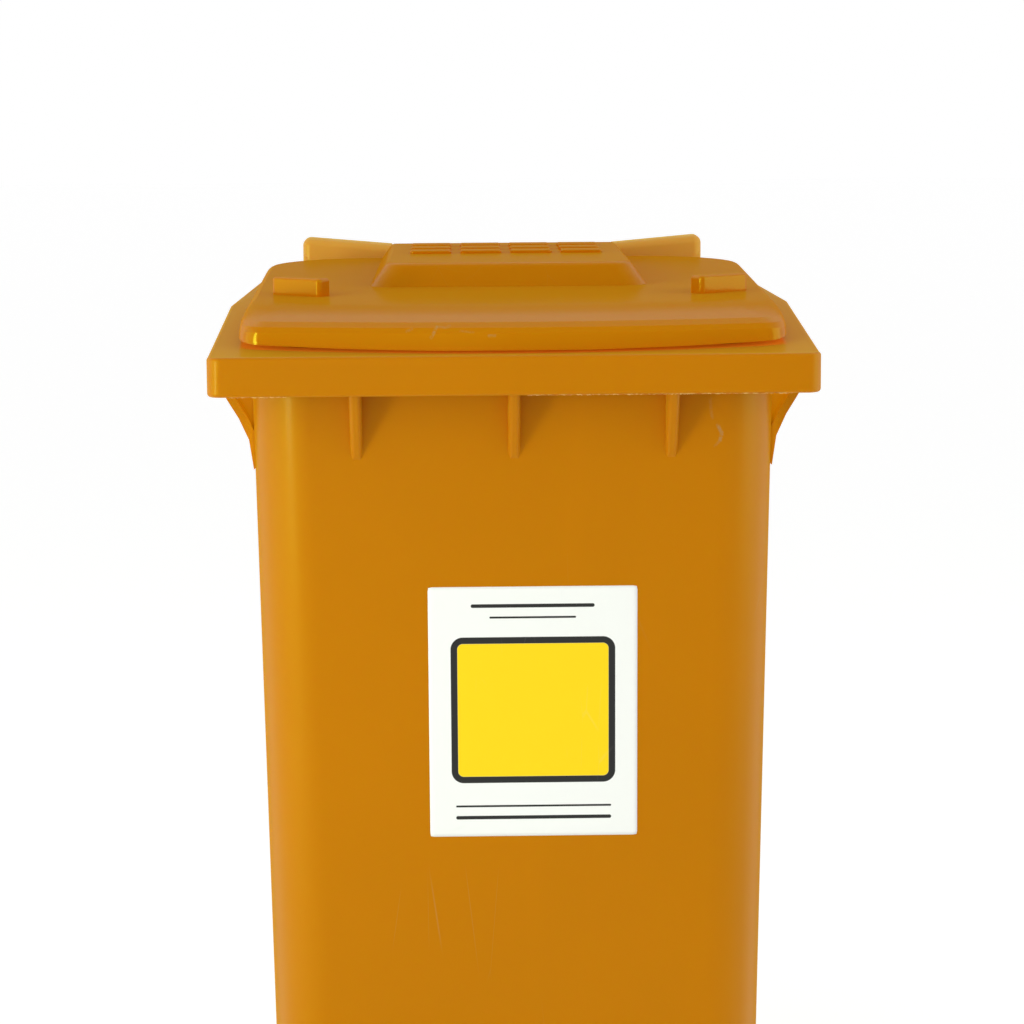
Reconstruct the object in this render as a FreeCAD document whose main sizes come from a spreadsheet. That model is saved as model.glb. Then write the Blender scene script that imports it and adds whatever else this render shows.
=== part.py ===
import FreeCAD, Part

import math
import os
import re
from types import SimpleNamespace

import Sketcher
from FreeCAD import Placement, Rotation, Vector

# A two-wheeled 240 litre waste bin: one moulded tub with a lifting lip and a rear handle,
# a hinged lid, and two clip-on wheels on a steel axle.
# The bin stands on Z = 0. Its front faces -Y, and X = 0 is its plane of symmetry.

SIZES = {
    # Tub, in millimetres. Widths and depths are outside sizes.
    "tub_top_width": 508,
    "tub_bottom_width": 477,
    "tub_front": 319,
    "tub_front_recess": 40,
    "tub_back": 280,
    "tub_back_recess": 14,
    "tub_corner": 58,
    "tub_wall": 4,
    "floor_height": 25,
    "floor_edge": 18,
    "foot_width": 380,
    "foot_depth": 30,
    # Lifting lip across the front, and the rim that rises behind it.
    "lip_top": 1000,
    "lip_front": 365,
    "lip_drop": 38,
    "rim_front_width": 580,
    "rim_back_width": 544,
    "rim_back": 300,
    "rim_rise": 30,
    "ramp_gap": 4,
    "ramp_length": 230,
    "rim_plate": 4.5,
    "rim_skirt": 4.5,
    "rim_front_corner": 14,
    "rim_back_corner": 60,
    "rim_round": 3.5,
    "comb_rib_pitch": 151,
    "comb_rib_width": 11.5,
    "comb_rib_length": 66,
    "comb_rib_setback": 9,
    "gusset_length": 81,
    "gusset_setback": 100,
    "gusset_depth": 24,
    "gusset_edge": 9,
    "side_rib_width": 6,
    # Rear handle, and the hinge that the lid turns on.
    "hinge_back": 352,
    "hinge_height": 1048,
    "bracket_inner": 128,
    "bracket_thickness": 10,
    "bracket_drop": 157,
    "grip_outer": 231,
    "grip_depth": 36,
    "grip_setback": 5,
    "grip_drop": 16,
    "grip_inner_rise": 16,
    "grip_outer_rise": 25,
    "grip_round": 9,
    "pin_diameter": 14,
    "pin_clearance": 0.08,
    "pin_seat": 24,
    "pin_head_gap": 0.3,
    "pin_head_diameter": 23,
    "pin_head_thickness": 4,
    # Lid, a hollow shell. Its widths and reaches are outside sizes.
    "lid_front": 347,
    "lid_bow": 28,
    "lid_back": 290,
    "lid_front_width": 524,
    "lid_back_width": 540,
    "lid_front_corner": 26,
    "lid_back_corner": 100,
    "lid_wall": 3.5,
    "lid_front_gap": 3,
    "lid_seat_gap": 0.3,
    "lid_wedge": 9,
    "lid_wedge_start": 20,
    "lid_wedge_end": 60,
    "lid_top": 1040,
    "lid_slope": 12,
    "lid_shoulder": 26,
    "lid_front_round": 80,
    "lid_side_round": 12,
    "lid_crown_corner": 60,
    "plateau_front": 81,
    "plateau_back": 272,
    "plateau_width": 252,
    "plateau_top": 1069,
    "plateau_front_draft": 12,
    "plateau_side_draft": 20,
    "plateau_round": 8,
    "plateau_corner": 26,
    "bar_length": 44,
    "bar_depth": 26,
    "bar_height": 3.5,
    "bar_pitch_across": 54,
    "bar_pitch_back": 58,
    "bar_centre": 140,
    "tab_length": 62,
    "tab_thickness": 19,
    "tab_top": 1061,
    "tab_across": 209,
    "tab_forward": 164,
    "tab_turn": 36,
    "tab_round": 5,
    "lug_width": 28,
    "lug_gap": 2,
    "lug_radius": 14,
    # Wheels and axle.
    "wheel_radius": 100,
    "axle_back": 232,
    "wheel_centre": 244,
    "tyre_width": 48,
    "tyre_thickness": 23,
    "tyre_clearance": 0.1,
    "tyre_round": 7,
    "rim_width": 44,
    "rim_ring": 8,
    "disc_thickness": 7,
    "hub_radius": 21,
    "hub_inner_reach": 28,
    "hub_outer_reach": 23,
    "spoke_width": 14,
    "window_inner": 27,
    "window_outer": 64,
    "axle_diameter": 22,
    "axle_clearance": 0.3,
    "axle_end": 265,
    "axle_chamfer": 2,
    "groove_depth": 2.5,
    "groove_width": 9,
    "groove_centre": 257,
    "well_radius": 117,
    "well_face": 213,
    "step_front": 204,
    "step_top": 128,
    "web_thickness": 7,
    "web_inner": 84,
    "web_round": 22,
    "latch_diameter": 8,
    "latch_length": 12,
    "latch_clearance": 0.2,
    "latch_boss": 15,
    "latch_boss_reach": 35,
    "latch_plug": 4,
    "plug_clearance": 0.1,
    "spring_wire": 0.9,
    "spring_diameter": 6.4,
    "spring_turns": 5,
    "washer_diameter": 36,
    "washer_thickness": 2.6,
    "cap_diameter": 46,
    "cap_thickness": 5,
    "cap_gap": 0.2,
    # Label, a thin vinyl sheet on the front wall.
    "label_width": 203,
    "label_height": 250,
    "label_thickness": 0.4,
    "label_centre": 645.5,
    "label_offset": 17,
}

# Places worked out from the sizes, as formulas that the document keeps.
TUB_TOP = "(lip_top + rim_rise)"
LIP_BOTTOM = "(lip_top - lip_drop)"
RAMP_START = "(rim_front_corner + ramp_gap)"
GRIP_BOTTOM = "(hinge_height - grip_drop)"
GRIP_TOP = "(hinge_height + grip_inner_rise)"
SIDES = (("left", -1), ("right", 1))
CUT = 400.0  # reach of a cutting block, clear of the whole bin
OVERLAP = 2.0  # how far a rib or boss is sunk into the wall that it grows from

doc = FreeCAD.newDocument("waste_bin")
sheet = doc.addObject("Spreadsheet::Sheet", "Sizes")
for row, (alias, number) in enumerate(SIZES.items(), start=1):
    sheet.set(f"A{row}", alias)
    sheet.set(f"B{row}", str(number))
    sheet.setAlias(f"B{row}", alias)
doc.recompute()
s = SimpleNamespace(**{alias: float(sheet.get(alias)) for alias in SIZES})
subparts = []


# ---------------------------------------------------------------- helpers


def cells(formula):
    """The formula with each size's name pointing at its cell."""
    return re.sub(r"[a-z_]+", lambda m: "Sizes." + m.group() if m.group() in SIZES else m.group(), str(formula))


def bind(thing, **formulas):
    """Binds properties to formulas. Two underscores stand for a dot."""
    for name, formula in formulas.items():
        thing.setExpression(name.replace("__", "."), cells(formula))
    return thing


def place(thing, x=0, y=0, z=0, turn=None):
    """Puts an object at a place given by formulas, after turning it."""
    if turn is not None:
        thing.Placement = Placement(Vector(), turn)
    return bind(thing, Placement__Base__x=x, Placement__Base__y=y, Placement__Base__z=z)


def new_body(name):
    return doc.addObject("PartDesign::Body", name)


def origin_feature(body, role):
    return next(f for f in body.Origin.OriginFeatures if f.Role == role)


def outline(body, name, plane, points, offset=0):
    """A closed polygon sketch on one of the body's own planes, each corner held by two formulas."""
    sketch = body.newObject("Sketcher::SketchObject", name)
    sketch.AttachmentSupport = (origin_feature(body, plane), [""])
    sketch.MapMode = "FlatFace"
    count = len(points)
    ring = [Vector(math.cos(2 * math.pi * i / count), math.sin(2 * math.pi * i / count), 0) * 10 for i in range(count)]
    for i in range(count):
        sketch.addGeometry(Part.LineSegment(ring[i], ring[(i + 1) % count]))
    for i in range(count):
        sketch.addConstraint(Sketcher.Constraint("Coincident", i, 2, (i + 1) % count, 1))
    for i, corner in enumerate(points):
        for kind, formula, start in zip(("DistanceX", "DistanceY"), corner, ring[i]):
            index = sketch.addConstraint(Sketcher.Constraint(kind, -1, 1, i, 1, start))
            sketch.setExpression(f"Constraints[{index}]", cells(formula))
    sketch.setExpression("AttachmentOffset.Base.z", cells(offset))
    return sketch


def pad(body, sketch, length, middle=True):
    feature = body.newObject("PartDesign::Pad", sketch.Name + "_pad")
    feature.Profile = sketch
    feature.Midplane = middle
    return bind(feature, Length=length)


def pocket(body, sketch):
    """Cuts the outline through everything, both ways."""
    feature = body.newObject("PartDesign::Pocket", sketch.Name + "_pocket")
    feature.Profile = sketch
    feature.Type = "ThroughAll"
    feature.Midplane = True
    return feature


def revolve(body, sketch):
    """A full turn about the sketch's horizontal axis."""
    feature = body.newObject("PartDesign::Revolution", sketch.Name + "_turn")
    feature.Profile = sketch
    feature.ReferenceAxis = (sketch, ["H_Axis"])
    feature.Angle = 360
    return feature


def fillet(body, base, radius, wanted):
    """Rounds the base feature's edges for which wanted(edge) is true."""
    doc.recompute()
    edges = [f"Edge{i}" for i, edge in enumerate(base.Shape.Edges, start=1) if wanted(edge)]
    if not edges:
        raise ValueError(f"{base.Name} has no edge to round")
    feature = body.newObject("PartDesign::Fillet", base.Name + "_round")
    feature.Base = (base, edges)
    return bind(feature, Radius=radius)


def middle_of(edge):
    return edge.valueAt((edge.FirstParameter + edge.LastParameter) / 2)


def direction_of(edge):
    return edge.tangentAt((edge.FirstParameter + edge.LastParameter) / 2)


def upright(edge):
    return abs(direction_of(edge).z) > 0.9


def box(name, length, width, height, x, y, z):
    block = doc.addObject("Part::Box", name)
    bind(block, Length=length, Width=width, Height=height)
    return place(block, x, y, z)


def cylinder_x(name, radius, start, length, y, z):
    """A cylinder along +X from start."""
    rod = doc.addObject("Part::Cylinder", name)
    bind(rod, Radius=radius, Height=length)
    return place(rod, start, y, z, Rotation(Vector(0, 1, 0), 90))


def fuse(name, things):
    joined = doc.addObject("Part::MultiFuse", name)
    joined.Shapes = list(things)
    return joined


def cut(name, base, tool):
    result = doc.addObject("Part::Cut", name)
    result.Base = base
    result.Tool = tool
    return result


def finished(thing, label):
    """Marks an object as one of the bin's pieces."""
    thing.Label = label
    subparts.append(thing)
    return thing


# ---------------------------------------------------------------- tub, rim and handle


def front_wall(height, outwards=0):
    """The front wall's outside face at a height, as a formula for Y."""
    share = f"({TUB_TOP} - ({height})) / ({TUB_TOP} - floor_height)"
    return f"(-tub_front + tub_front_recess * {share} - ({outwards}))"


def side_wall(height):
    """Half the tub's outside width at a height, as a formula."""
    share = f"(({height}) - floor_height) / ({TUB_TOP} - floor_height)"
    return f"(tub_bottom_width / 2 + (tub_top_width - tub_bottom_width) / 2 * {share})"


def back_wall(height, outwards=0):
    """The rear wall's outside face at a height, as a formula for Y."""
    share = f"({TUB_TOP} - ({height})) / ({TUB_TOP} - floor_height)"
    return f"(tub_back - tub_back_recess * {share} + ({outwards}))"


def tapered_block(name, inset, bottom, top):
    """The tub's tapered form between two heights, brought in by a wall."""
    body = new_body(name)
    low, high = f"({bottom})", f"({top})"
    face = [
        (f"-({side_wall(low)} - {inset})", low),
        (f"{side_wall(low)} - {inset}", low),
        (f"{side_wall(high)} - {inset}", high),
        (f"-({side_wall(high)} - {inset})", high),
    ]
    pad(body, outline(body, name + "_face", "XZ_Plane", face), 3 * CUT)
    under, over = f"({low} - {CUT})", f"({high} + {CUT})"
    for end, wall, far in (("front", front_wall, -2 * CUT), ("back", back_wall, 2 * CUT)):
        trim = [(wall(under, f"-{inset}"), under), (wall(over, f"-{inset}"), over), (far, over), (far, under)]
        form = pocket(body, outline(body, f"{name}_{end}", "YZ_Plane", trim))
    corners = fillet(body, form, f"tub_corner - {inset}", upright)
    floor_z = min(v.Z for v in form.Shape.Vertexes)
    fillet(body, corners, f"floor_edge - {inset}", lambda e: abs(middle_of(e).z - floor_z) < 0.01)
    return body


def wheel_room(name, grow):
    """The space for both wheels and for the axle, larger by grow."""
    parts = []
    for side, sign in SIDES:
        start = f"well_face - {grow}" if sign > 0 else f"-{CUT}"
        length = f"{CUT} - well_face + {grow}"
        parts.append(
            cylinder_x(f"{name}_{side}", f"well_radius + {grow}", start, length, "axle_back", "wheel_radius")
        )
    parts.append(
        box(
            f"{name}_step",
            2 * CUT,
            CUT,
            f"step_top + {grow} + floor_height",
            -CUT,
            f"step_front - {grow}",
            "-floor_height",
        )
    )
    return fuse(name, parts)


def ramp_profile(drop):
    """The line over the lip, up the ramp and along the rim, lowered by drop, as points (Y, Z)."""
    return [
        (-2 * CUT, f"lip_top - {drop}"),
        (f"-lip_front + {RAMP_START}", f"lip_top - {drop}"),
        (f"-lip_front + {RAMP_START} + ramp_length", f"{TUB_TOP} - {drop}"),
        (2 * CUT, f"{TUB_TOP} - {drop}"),
    ]


def above(profile):
    return profile + [(2 * CUT, f"{TUB_TOP} + {CUT}"), (-2 * CUT, f"{TUB_TOP} + {CUT}")]


def below(profile):
    return profile + [(2 * CUT, f"{LIP_BOTTOM} - {CUT}"), (-2 * CUT, f"{LIP_BOTTOM} - {CUT}")]


def rim_block(name, inset, bottom, drop):
    """The rim's form: its outline brought in by inset, its top lowered by drop."""
    body = new_body(name)
    plan = [
        (f"-rim_front_width / 2 + {inset}", f"-lip_front + {inset}"),
        (f"rim_front_width / 2 - {inset}", f"-lip_front + {inset}"),
        (f"rim_back_width / 2 - {inset}", f"rim_back - {inset}"),
        (f"-rim_back_width / 2 + {inset}", f"rim_back - {inset}"),
    ]
    form = pad(body, outline(body, name + "_plan", "XY_Plane", plan, bottom), f"{TUB_TOP} - ({bottom})", False)
    front = fillet(body, form, f"rim_front_corner - {inset}", lambda e: upright(e) and middle_of(e).y < 0)
    fillet(body, front, f"rim_back_corner - {inset}", lambda e: upright(e) and middle_of(e).y > s.rim_back - 20)
    pocket(body, outline(body, name + "_over", "YZ_Plane", above(ramp_profile(drop))))
    return body


def on_rim_edge(edge):
    """True on the long top and bottom edges round the outside of the rim."""
    point, way = middle_of(edge), direction_of(edge)
    if abs(way.z) > 0.6:
        return False
    if abs(way.x) > 0.99:
        return abs(point.y + s.lip_front) < 0.01 or abs(point.y - s.rim_back) < 0.01
    return True


def rim():
    """The lip and rim: a plate with a skirt hanging round its edge, open underneath."""
    block = rim_block("rim_outside", "0", LIP_BOTTOM, "0")
    underside = outline(block, "rim_under", "YZ_Plane", below(ramp_profile("lip_drop")))
    shaped = pocket(block, underside)
    fillet(block, shaped, "rim_round", on_rim_edge)
    hollow = rim_block("rim_inside", "rim_skirt", f"{LIP_BOTTOM} - rim_rise", "rim_plate")
    return cut("rim_shell", block, hollow)


def comb_rib(number):
    """A gusset under the lip, from the skirt back to the front wall."""
    body = new_body(f"comb_rib_{number}")
    nose = "-lip_front + rim_skirt + comb_rib_setback"
    foot = f"{LIP_BOTTOM} - comb_rib_length"
    side = [
        (nose, "lip_top - rim_plate / 2"),
        (nose, LIP_BOTTOM),
        (front_wall(foot, 3), f"{foot} + 4"),
        (front_wall(foot), foot),
        (front_wall(foot, -OVERLAP), foot),
        (front_wall("lip_top", -OVERLAP), "lip_top - rim_plate / 2"),
    ]
    form = pad(body, outline(body, body.Name + "_side", "YZ_Plane", side), "comb_rib_width")
    fillet(body, form, "comb_rib_width * 0.38", on_rib_nose)
    return place(body, x=f"{number} * comb_rib_pitch")


def on_rib_nose(edge):
    """True on the two long front edges of a comb rib."""
    point, way = middle_of(edge), direction_of(edge)
    in_front = point.y < -s.tub_front - OVERLAP
    return in_front and abs(way.x) < 0.1 and abs(way.z) > 0.5 and point.z < s.lip_top - s.lip_drop


def side_outline(width, rise, root, inset=0, open_by=0):
    """A gusset between the rim's underside and the tub's side, as points (X, Z) on the right.
    Its outer edge sweeps in from the rim, which is width wide here, to meet the tub. The bottom
    slopes up towards the tub, or for a recess it runs out below by open_by."""
    low = f"({LIP_BOTTOM} + {rise} - gusset_length)"
    top = f"lip_top + {rise} - rim_plate / 2 - {inset}"
    outer = f"({width} / 2 - rim_skirt * 1.2)"
    points = [(f"{side_wall('lip_top')} - {root}", top), (f"{outer} - {inset}", top)]
    for inwards, down in ((0, 0), (0.22, 0.16), (0.55, 0.38), (0.84, 0.64)):
        x = f"{outer} - {inset} - {inwards} * ({outer} - {side_wall(low)})"
        points.append((x, f"{LIP_BOTTOM} + {rise} - {down} * gusset_length"))
    points.append((f"{side_wall(low)} + 1 - {inset}", f"{low} - {open_by}"))
    points.append((f"{side_wall(low)} - {root}", f"{low} - {open_by}" if open_by else f"{low} + {root}"))
    return points


def mirrored(points, sign):
    return [(f"{sign} * ({x})", z) for x, z in points]


def front_gusset(side, sign):
    """The thick gusset behind the lip's end, hollowed from the front so that its edge stands proud."""
    body = new_body(f"front_gusset_{side}")
    back = "lip_front - gusset_setback - gusset_depth"
    form = mirrored(side_outline("rim_front_width", 0, "tub_corner / 2"), sign)
    pad(body, outline(body, body.Name + "_form", "XZ_Plane", form, back), "gusset_depth", False)
    hollow = new_body(f"gusset_hollow_{side}")
    recess = mirrored(side_outline("rim_front_width", 0, "tub_corner", "gusset_edge", OVERLAP), sign)
    pad(hollow, outline(hollow, hollow.Name + "_form", "XZ_Plane", recess, f"{back} + rim_plate"), "gusset_depth", False)
    return cut(f"gusset_{side}", body, hollow)


def side_rib(side, sign, number, back):
    """A plain rib under the side rim, at a place along Y."""
    body = new_body(f"side_rib_{side}_{number}")
    points = mirrored(side_outline("rim_back_width", "rim_rise", OVERLAP), sign)
    pad(body, outline(body, body.Name + "_form", "XZ_Plane", points, f"-({back})"), "side_rib_width")
    return body


def bracket(name, start):
    """A plate that carries the handle, from the rear wall out to the grip."""
    body = new_body(name)
    root = f"tub_back - tub_back_recess * 0.2 - {OVERLAP}"
    shelf = f"{TUB_TOP} - 1"
    grip_front = "(hinge_back - grip_depth / 2 - grip_setback)"
    side = [
        (root, shelf),
        (f"{grip_front} - 8", shelf),
        (f"{grip_front} + 4", f"{GRIP_TOP} - 8"),
        (f"{grip_front} + grip_depth - 4", f"{GRIP_TOP} - 8"),
        (f"{grip_front} + grip_depth - 2", f"{GRIP_BOTTOM} + 8"),
        (f"{grip_front} + 15", f"{GRIP_BOTTOM} - 12"),
        (f"{grip_front} - 11", f"{shelf} - 31"),
        (f"{grip_front} - 32", f"{shelf} - 77"),
        (root, f"{shelf} - bracket_drop"),
    ]
    sketch = outline(body, name + "_side", "YZ_Plane", side, start)
    form = pad(body, sketch, "bracket_thickness", False)
    fillet(body, form, "bracket_thickness * 0.2", lambda e: abs(direction_of(e).x) < 0.1 and middle_of(e).y > s.tub_back)
    return body


def grip(side, sign):
    """One hand grip, deeper at its outer end, with every edge rounded but those at its inner end."""
    body = new_body(f"grip_{side}")
    face = [
        (f"{sign} * bracket_inner", GRIP_BOTTOM),
        (f"{sign} * grip_outer", GRIP_BOTTOM),
        (f"{sign} * grip_outer", "hinge_height + grip_outer_rise"),
        (f"{sign} * bracket_inner", GRIP_TOP),
    ]
    back = "-(hinge_back - grip_setback + grip_depth / 2)"
    form = pad(body, outline(body, body.Name + "_face", "XZ_Plane", face, back), "grip_depth", False)
    fillet(body, form, "grip_round", lambda e: abs(abs(middle_of(e).x) - s.bracket_inner) > 1)
    return body


def axle_web(number, start):
    """A plate under the raised floor that the axle passes through."""
    drop = box(
        f"axle_web_{number}_plate",
        "web_thickness",
        f"tub_back - tub_back_recess - step_front + {OVERLAP}",
        f"step_top - wheel_radius + {OVERLAP}",
        start,
        f"step_front - {OVERLAP}",
        "wheel_radius",
    )
    boss = cylinder_x(f"axle_web_{number}_boss", "web_round", start, "web_thickness", "axle_back", "wheel_radius")
    return [drop, boss]


def bin_body():
    outside = cut("tub_form", tapered_block("tub_outside", "0", "floor_height", TUB_TOP), wheel_room("wheel_room", "0"))
    trim = new_body("over_rim")
    pad(trim, outline(trim, "over_rim_side", "YZ_Plane", above(ramp_profile("0"))), 3 * CUT)
    walls = cut("tub_walls", outside, trim)
    cavity = cut(
        "cavity",
        tapered_block("tub_inside", "tub_wall", "floor_height + tub_wall", f"{TUB_TOP} + 1"),
        wheel_room("wheel_room_inside", "tub_wall"),
    )
    foot = box(
        "foot",
        "foot_width",
        "foot_depth",
        "floor_height + tub_wall / 2",
        "-foot_width / 2",
        "-tub_front + tub_front_recess + floor_edge",
        0,
    )
    grown = [rim(), walls, foot] + [comb_rib(number) for number in (-1, 0, 1)]
    web_starts = ("-well_face", "-web_inner - web_thickness", "web_inner", "well_face - web_thickness")
    for number, start in enumerate(web_starts, start=1):
        grown += axle_web(number, start)
    for side, sign in SIDES:
        inner = "bracket_inner" if sign > 0 else "-bracket_inner - bracket_thickness"
        outer = "grip_outer - bracket_thickness - 1" if sign > 0 else "-grip_outer + 1"
        grown += [front_gusset(side, sign), grip(side, sign)]
        grown += [bracket(f"bracket_inner_{side}", inner), bracket(f"bracket_outer_{side}", outer)]
        grown += [side_rib(side, sign, number, back) for number, back in enumerate((-120, 40, 200), start=1)]
    bores = [
        cylinder_x(
            "axle_bore",
            "axle_diameter / 2 + axle_clearance",
            -CUT,
            2 * CUT,
            "axle_back",
            "wheel_radius",
        )
    ]
    for side, sign in SIDES:
        start = "bracket_inner - 1" if sign > 0 else "-bracket_inner - pin_seat"
        bores.append(
            cylinder_x(
                f"pin_bore_{side}",
                "pin_diameter / 2 + pin_clearance",
                start,
                "pin_seat + 1",
                "hinge_back",
                "hinge_height",
            )
        )
    moulded = fuse("moulded", grown)
    hollowed = cut("hollowed", moulded, cavity)
    return finished(cut("bored", hollowed, fuse("bores", bores)), "bin_body")


# ---------------------------------------------------------------- lid


def lid_outline(height, front, side, back, r_front, r_back):
    """The lid's outline at a height, brought in at the front, sides and back: a bowed front edge,
    straight sides and back, and four round corners that meet them smoothly."""
    bow_radius = ((s.lid_front_width / 2) ** 2 + s.lid_bow**2) / (2 * s.lid_bow) - front
    centre = Vector(0, -s.lid_front + front + bow_radius, 0)
    near = Vector(s.lid_front_width / 2 - side, -s.lid_front + s.lid_bow, 0)
    far = Vector(s.lid_back_width / 2 - side, s.lid_back - back, 0)
    along = (far - near).normalize()
    inwards = Vector(-along.y, along.x, 0)
    start = near + inwards * r_front - centre
    reach = bow_radius - r_front
    slide = -start.dot(along) - math.sqrt(start.dot(along) ** 2 - start.dot(start) + reach**2)
    corner = centre + start + along * slide
    front_touch = centre + (corner - centre).normalize() * bow_radius
    side_low = corner - inwards * r_front
    side_line = near + inwards * r_back
    corner_back = side_line + along * ((far.y - r_back - side_line.y) / along.y)
    side_high = corner_back - inwards * r_back
    back_touch = Vector(corner_back.x, far.y, 0)

    def arc(start, hub, reach, end):
        half = ((start - hub) + (end - hub)).normalize() * reach + hub
        return [start, half, end]

    right = [
        arc(front_touch, corner, r_front, side_low),
        [side_low, side_high],
        arc(side_high, corner_back, r_back, back_touch),
    ]
    flip = [[Vector(-p.x, p.y, 0) for p in reversed(run)] for run in reversed(right)]
    runs = right + [[back_touch, Vector(-back_touch.x, back_touch.y, 0)]] + flip
    nose = Vector(0, -s.lid_front + front, 0)
    runs.append([Vector(-front_touch.x, front_touch.y, 0), nose, front_touch])
    edges = []
    for run in runs:
        points = [p + Vector(0, 0, height) for p in run]
        edges.append(Part.Arc(*points).toShape() if len(points) == 3 else Part.LineSegment(*points).toShape())
    return Part.Wire(edges)


def lid_dome(wall):
    """The lid's domed form, brought in by a wall thickness on every side."""
    bottom = s.lip_top - s.lip_drop
    shoulder = s.lid_top - s.lid_shoulder
    stations = 8
    r_front, r_back = s.lid_front_corner - wall, s.lid_back_corner - wall
    wires = [lid_outline(bottom, wall, wall, wall, r_front, r_back)]
    last = math.radians(80)
    for i in range(stations):
        turn = last * i / (stations - 1)
        inset = (1 - math.cos(turn)) / (1 - math.cos(last))
        rise = math.sin(turn) / math.sin(last)
        front_in = wall + s.lid_front_round * inset**1.3
        side_in = wall + s.lid_side_round * inset
        corner = r_front + (s.lid_crown_corner - s.lid_front_corner) * inset
        height = shoulder + (s.lid_shoulder - wall) * rise
        wires.append(lid_outline(height, front_in, side_in, side_in, corner, r_back))
    dome = Part.makeLoft(wires, True, True)
    tilt = math.degrees(math.atan2(s.lid_slope, s.lid_front + s.lid_back))
    dome.rotate(Vector(0, -s.lid_front, s.lip_top), Vector(1, 0, 0), tilt)
    return dome


def lid_under():
    """Everything under the lid's lower edge: just clear of the lip at the front, a wedge that opens
    at the front corners so that fingers can lift the lid, then down to a seat on the rim."""
    front = -s.lip_front
    seat = s.lip_top + s.rim_rise + s.lid_seat_gap
    line = [
        (-2 * CUT, s.lip_top + s.lid_front_gap),
        (front + s.lid_wedge_start, s.lip_top + s.lid_front_gap),
        (front + s.lid_wedge_end, s.lip_top + s.lid_front_gap + s.lid_wedge),
        (front + s.rim_front_corner + s.ramp_gap + s.ramp_length, seat),
        (2 * CUT, seat),
        (2 * CUT, 0),
        (-2 * CUT, 0),
    ]
    points = [Vector(-CUT, y, z) for y, z in line]
    return Part.Face(Part.makePolygon(points + points[:1])).extrude(Vector(2 * CUT, 0, 0))


def plateau(wall):
    """The raised middle of the lid, from its sloping front face back to the hinge."""
    base_z = s.lid_top - s.lid_shoulder
    lift = (s.plateau_top - base_z) / (s.plateau_top - s.lid_top)
    levels = ((base_z, lift), (s.plateau_top - wall, 0))
    wires = []
    for z, spread in levels:
        half = s.plateau_width / 2 + s.plateau_side_draft * spread - wall
        front = -s.plateau_front - s.plateau_front_draft * spread + wall
        back = s.plateau_back - wall
        points = [Vector(-half, front, z), Vector(half, front, z), Vector(half, back, z), Vector(-half, back, z)]
        wires.append(Part.makePolygon(points + points[:1]))
    form = Part.makeLoft(wires, True, True)
    corners = [e for e in form.Edges if abs(direction_of(e).z) > 0.3]
    form = form.makeFillet(s.plateau_corner - wall, [e for e in corners if middle_of(e).y < 0])
    top = [e for e in form.Edges if abs(middle_of(e).z - (s.plateau_top - wall)) < 0.01]
    return form.makeFillet(s.plateau_round - wall, top)


def plateau_bars():
    """Rows of low plain bars that stiffen the plateau's rear half."""
    bars = []
    for row in (-1, 0, 1):
        for column in (-1.5, -0.5, 0.5, 1.5):
            bar = Part.makeBox(s.bar_length, s.bar_depth, s.bar_height + 1)
            bar.translate(Vector(-s.bar_length / 2, -s.bar_depth / 2, s.plateau_top - 1))
            bar = bar.makeFillet(s.bar_height, [e for e in bar.Edges if upright(e)])
            bar = bar.makeFillet(s.bar_height * 0.5, [e for e in bar.Edges if middle_of(e).z > s.plateau_top + 1])
            bar.translate(Vector(column * s.bar_pitch_across, s.bar_centre + row * s.bar_pitch_back, 0))
            bars.append(bar)
    return bars


def hinge_lug(start):
    """One arm of the lid's hinge, from the plateau's back wall to round its pin."""
    root = s.plateau_back - s.lid_wall / 2
    arm = [
        (root, s.lid_top + s.lid_wall),
        (root, s.plateau_top - s.plateau_round - 2),
        (s.hinge_back, s.hinge_height + s.lug_radius * 0.85),
        (s.hinge_back, s.hinge_height - s.lug_radius * 0.85),
    ]
    points = [Vector(start, y, z) for y, z in arm]
    plate = Part.Face(Part.makePolygon(points + points[:1])).extrude(Vector(s.lug_width, 0, 0))
    centre = Vector(start, s.hinge_back, s.hinge_height)
    return plate.fuse(Part.makeCylinder(s.lug_radius, s.lug_width, centre, Vector(1, 0, 0)))


def lid_tab(sign):
    """One upright tab for lifting the lid, turned to face its corner."""
    bottom = s.lid_top - s.lid_wall / 2
    block = Part.makeBox(s.tab_length, s.tab_thickness, s.tab_top - bottom)
    block.translate(Vector(-s.tab_length / 2, -s.tab_thickness / 2, bottom))
    block = block.makeFillet(s.tab_round, [e for e in block.Edges if upright(e)])
    block = block.makeFillet(s.tab_round * 0.7, [e for e in block.Edges if abs(middle_of(e).z - s.tab_top) < 0.01])
    block.rotate(Vector(), Vector(0, 0, 1), sign * s.tab_turn)
    block.translate(Vector(sign * s.tab_across, -s.tab_forward, 0))
    return block


def lid():
    outside = lid_dome(0).fuse(plateau(0))
    inside = lid_dome(s.lid_wall).fuse(plateau(s.lid_wall))
    shell = outside.cut(inside).cut(lid_under())
    lug_start = s.bracket_inner - s.lug_gap - s.lug_width
    additions = [hinge_lug(lug_start), hinge_lug(-lug_start - s.lug_width), lid_tab(-1), lid_tab(1)]
    additions += plateau_bars()
    shell = shell.fuse(additions)
    bore = Part.makeCylinder(
        s.pin_diameter / 2 + s.pin_clearance,
        2 * CUT,
        Vector(-CUT, s.hinge_back, s.hinge_height),
        Vector(1, 0, 0),
    )
    shell = shell.cut(bore).removeSplitter()
    thing = doc.addObject("Part::Feature", "lid_shell")
    thing.Shape = shell
    return finished(thing, "lid")


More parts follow.
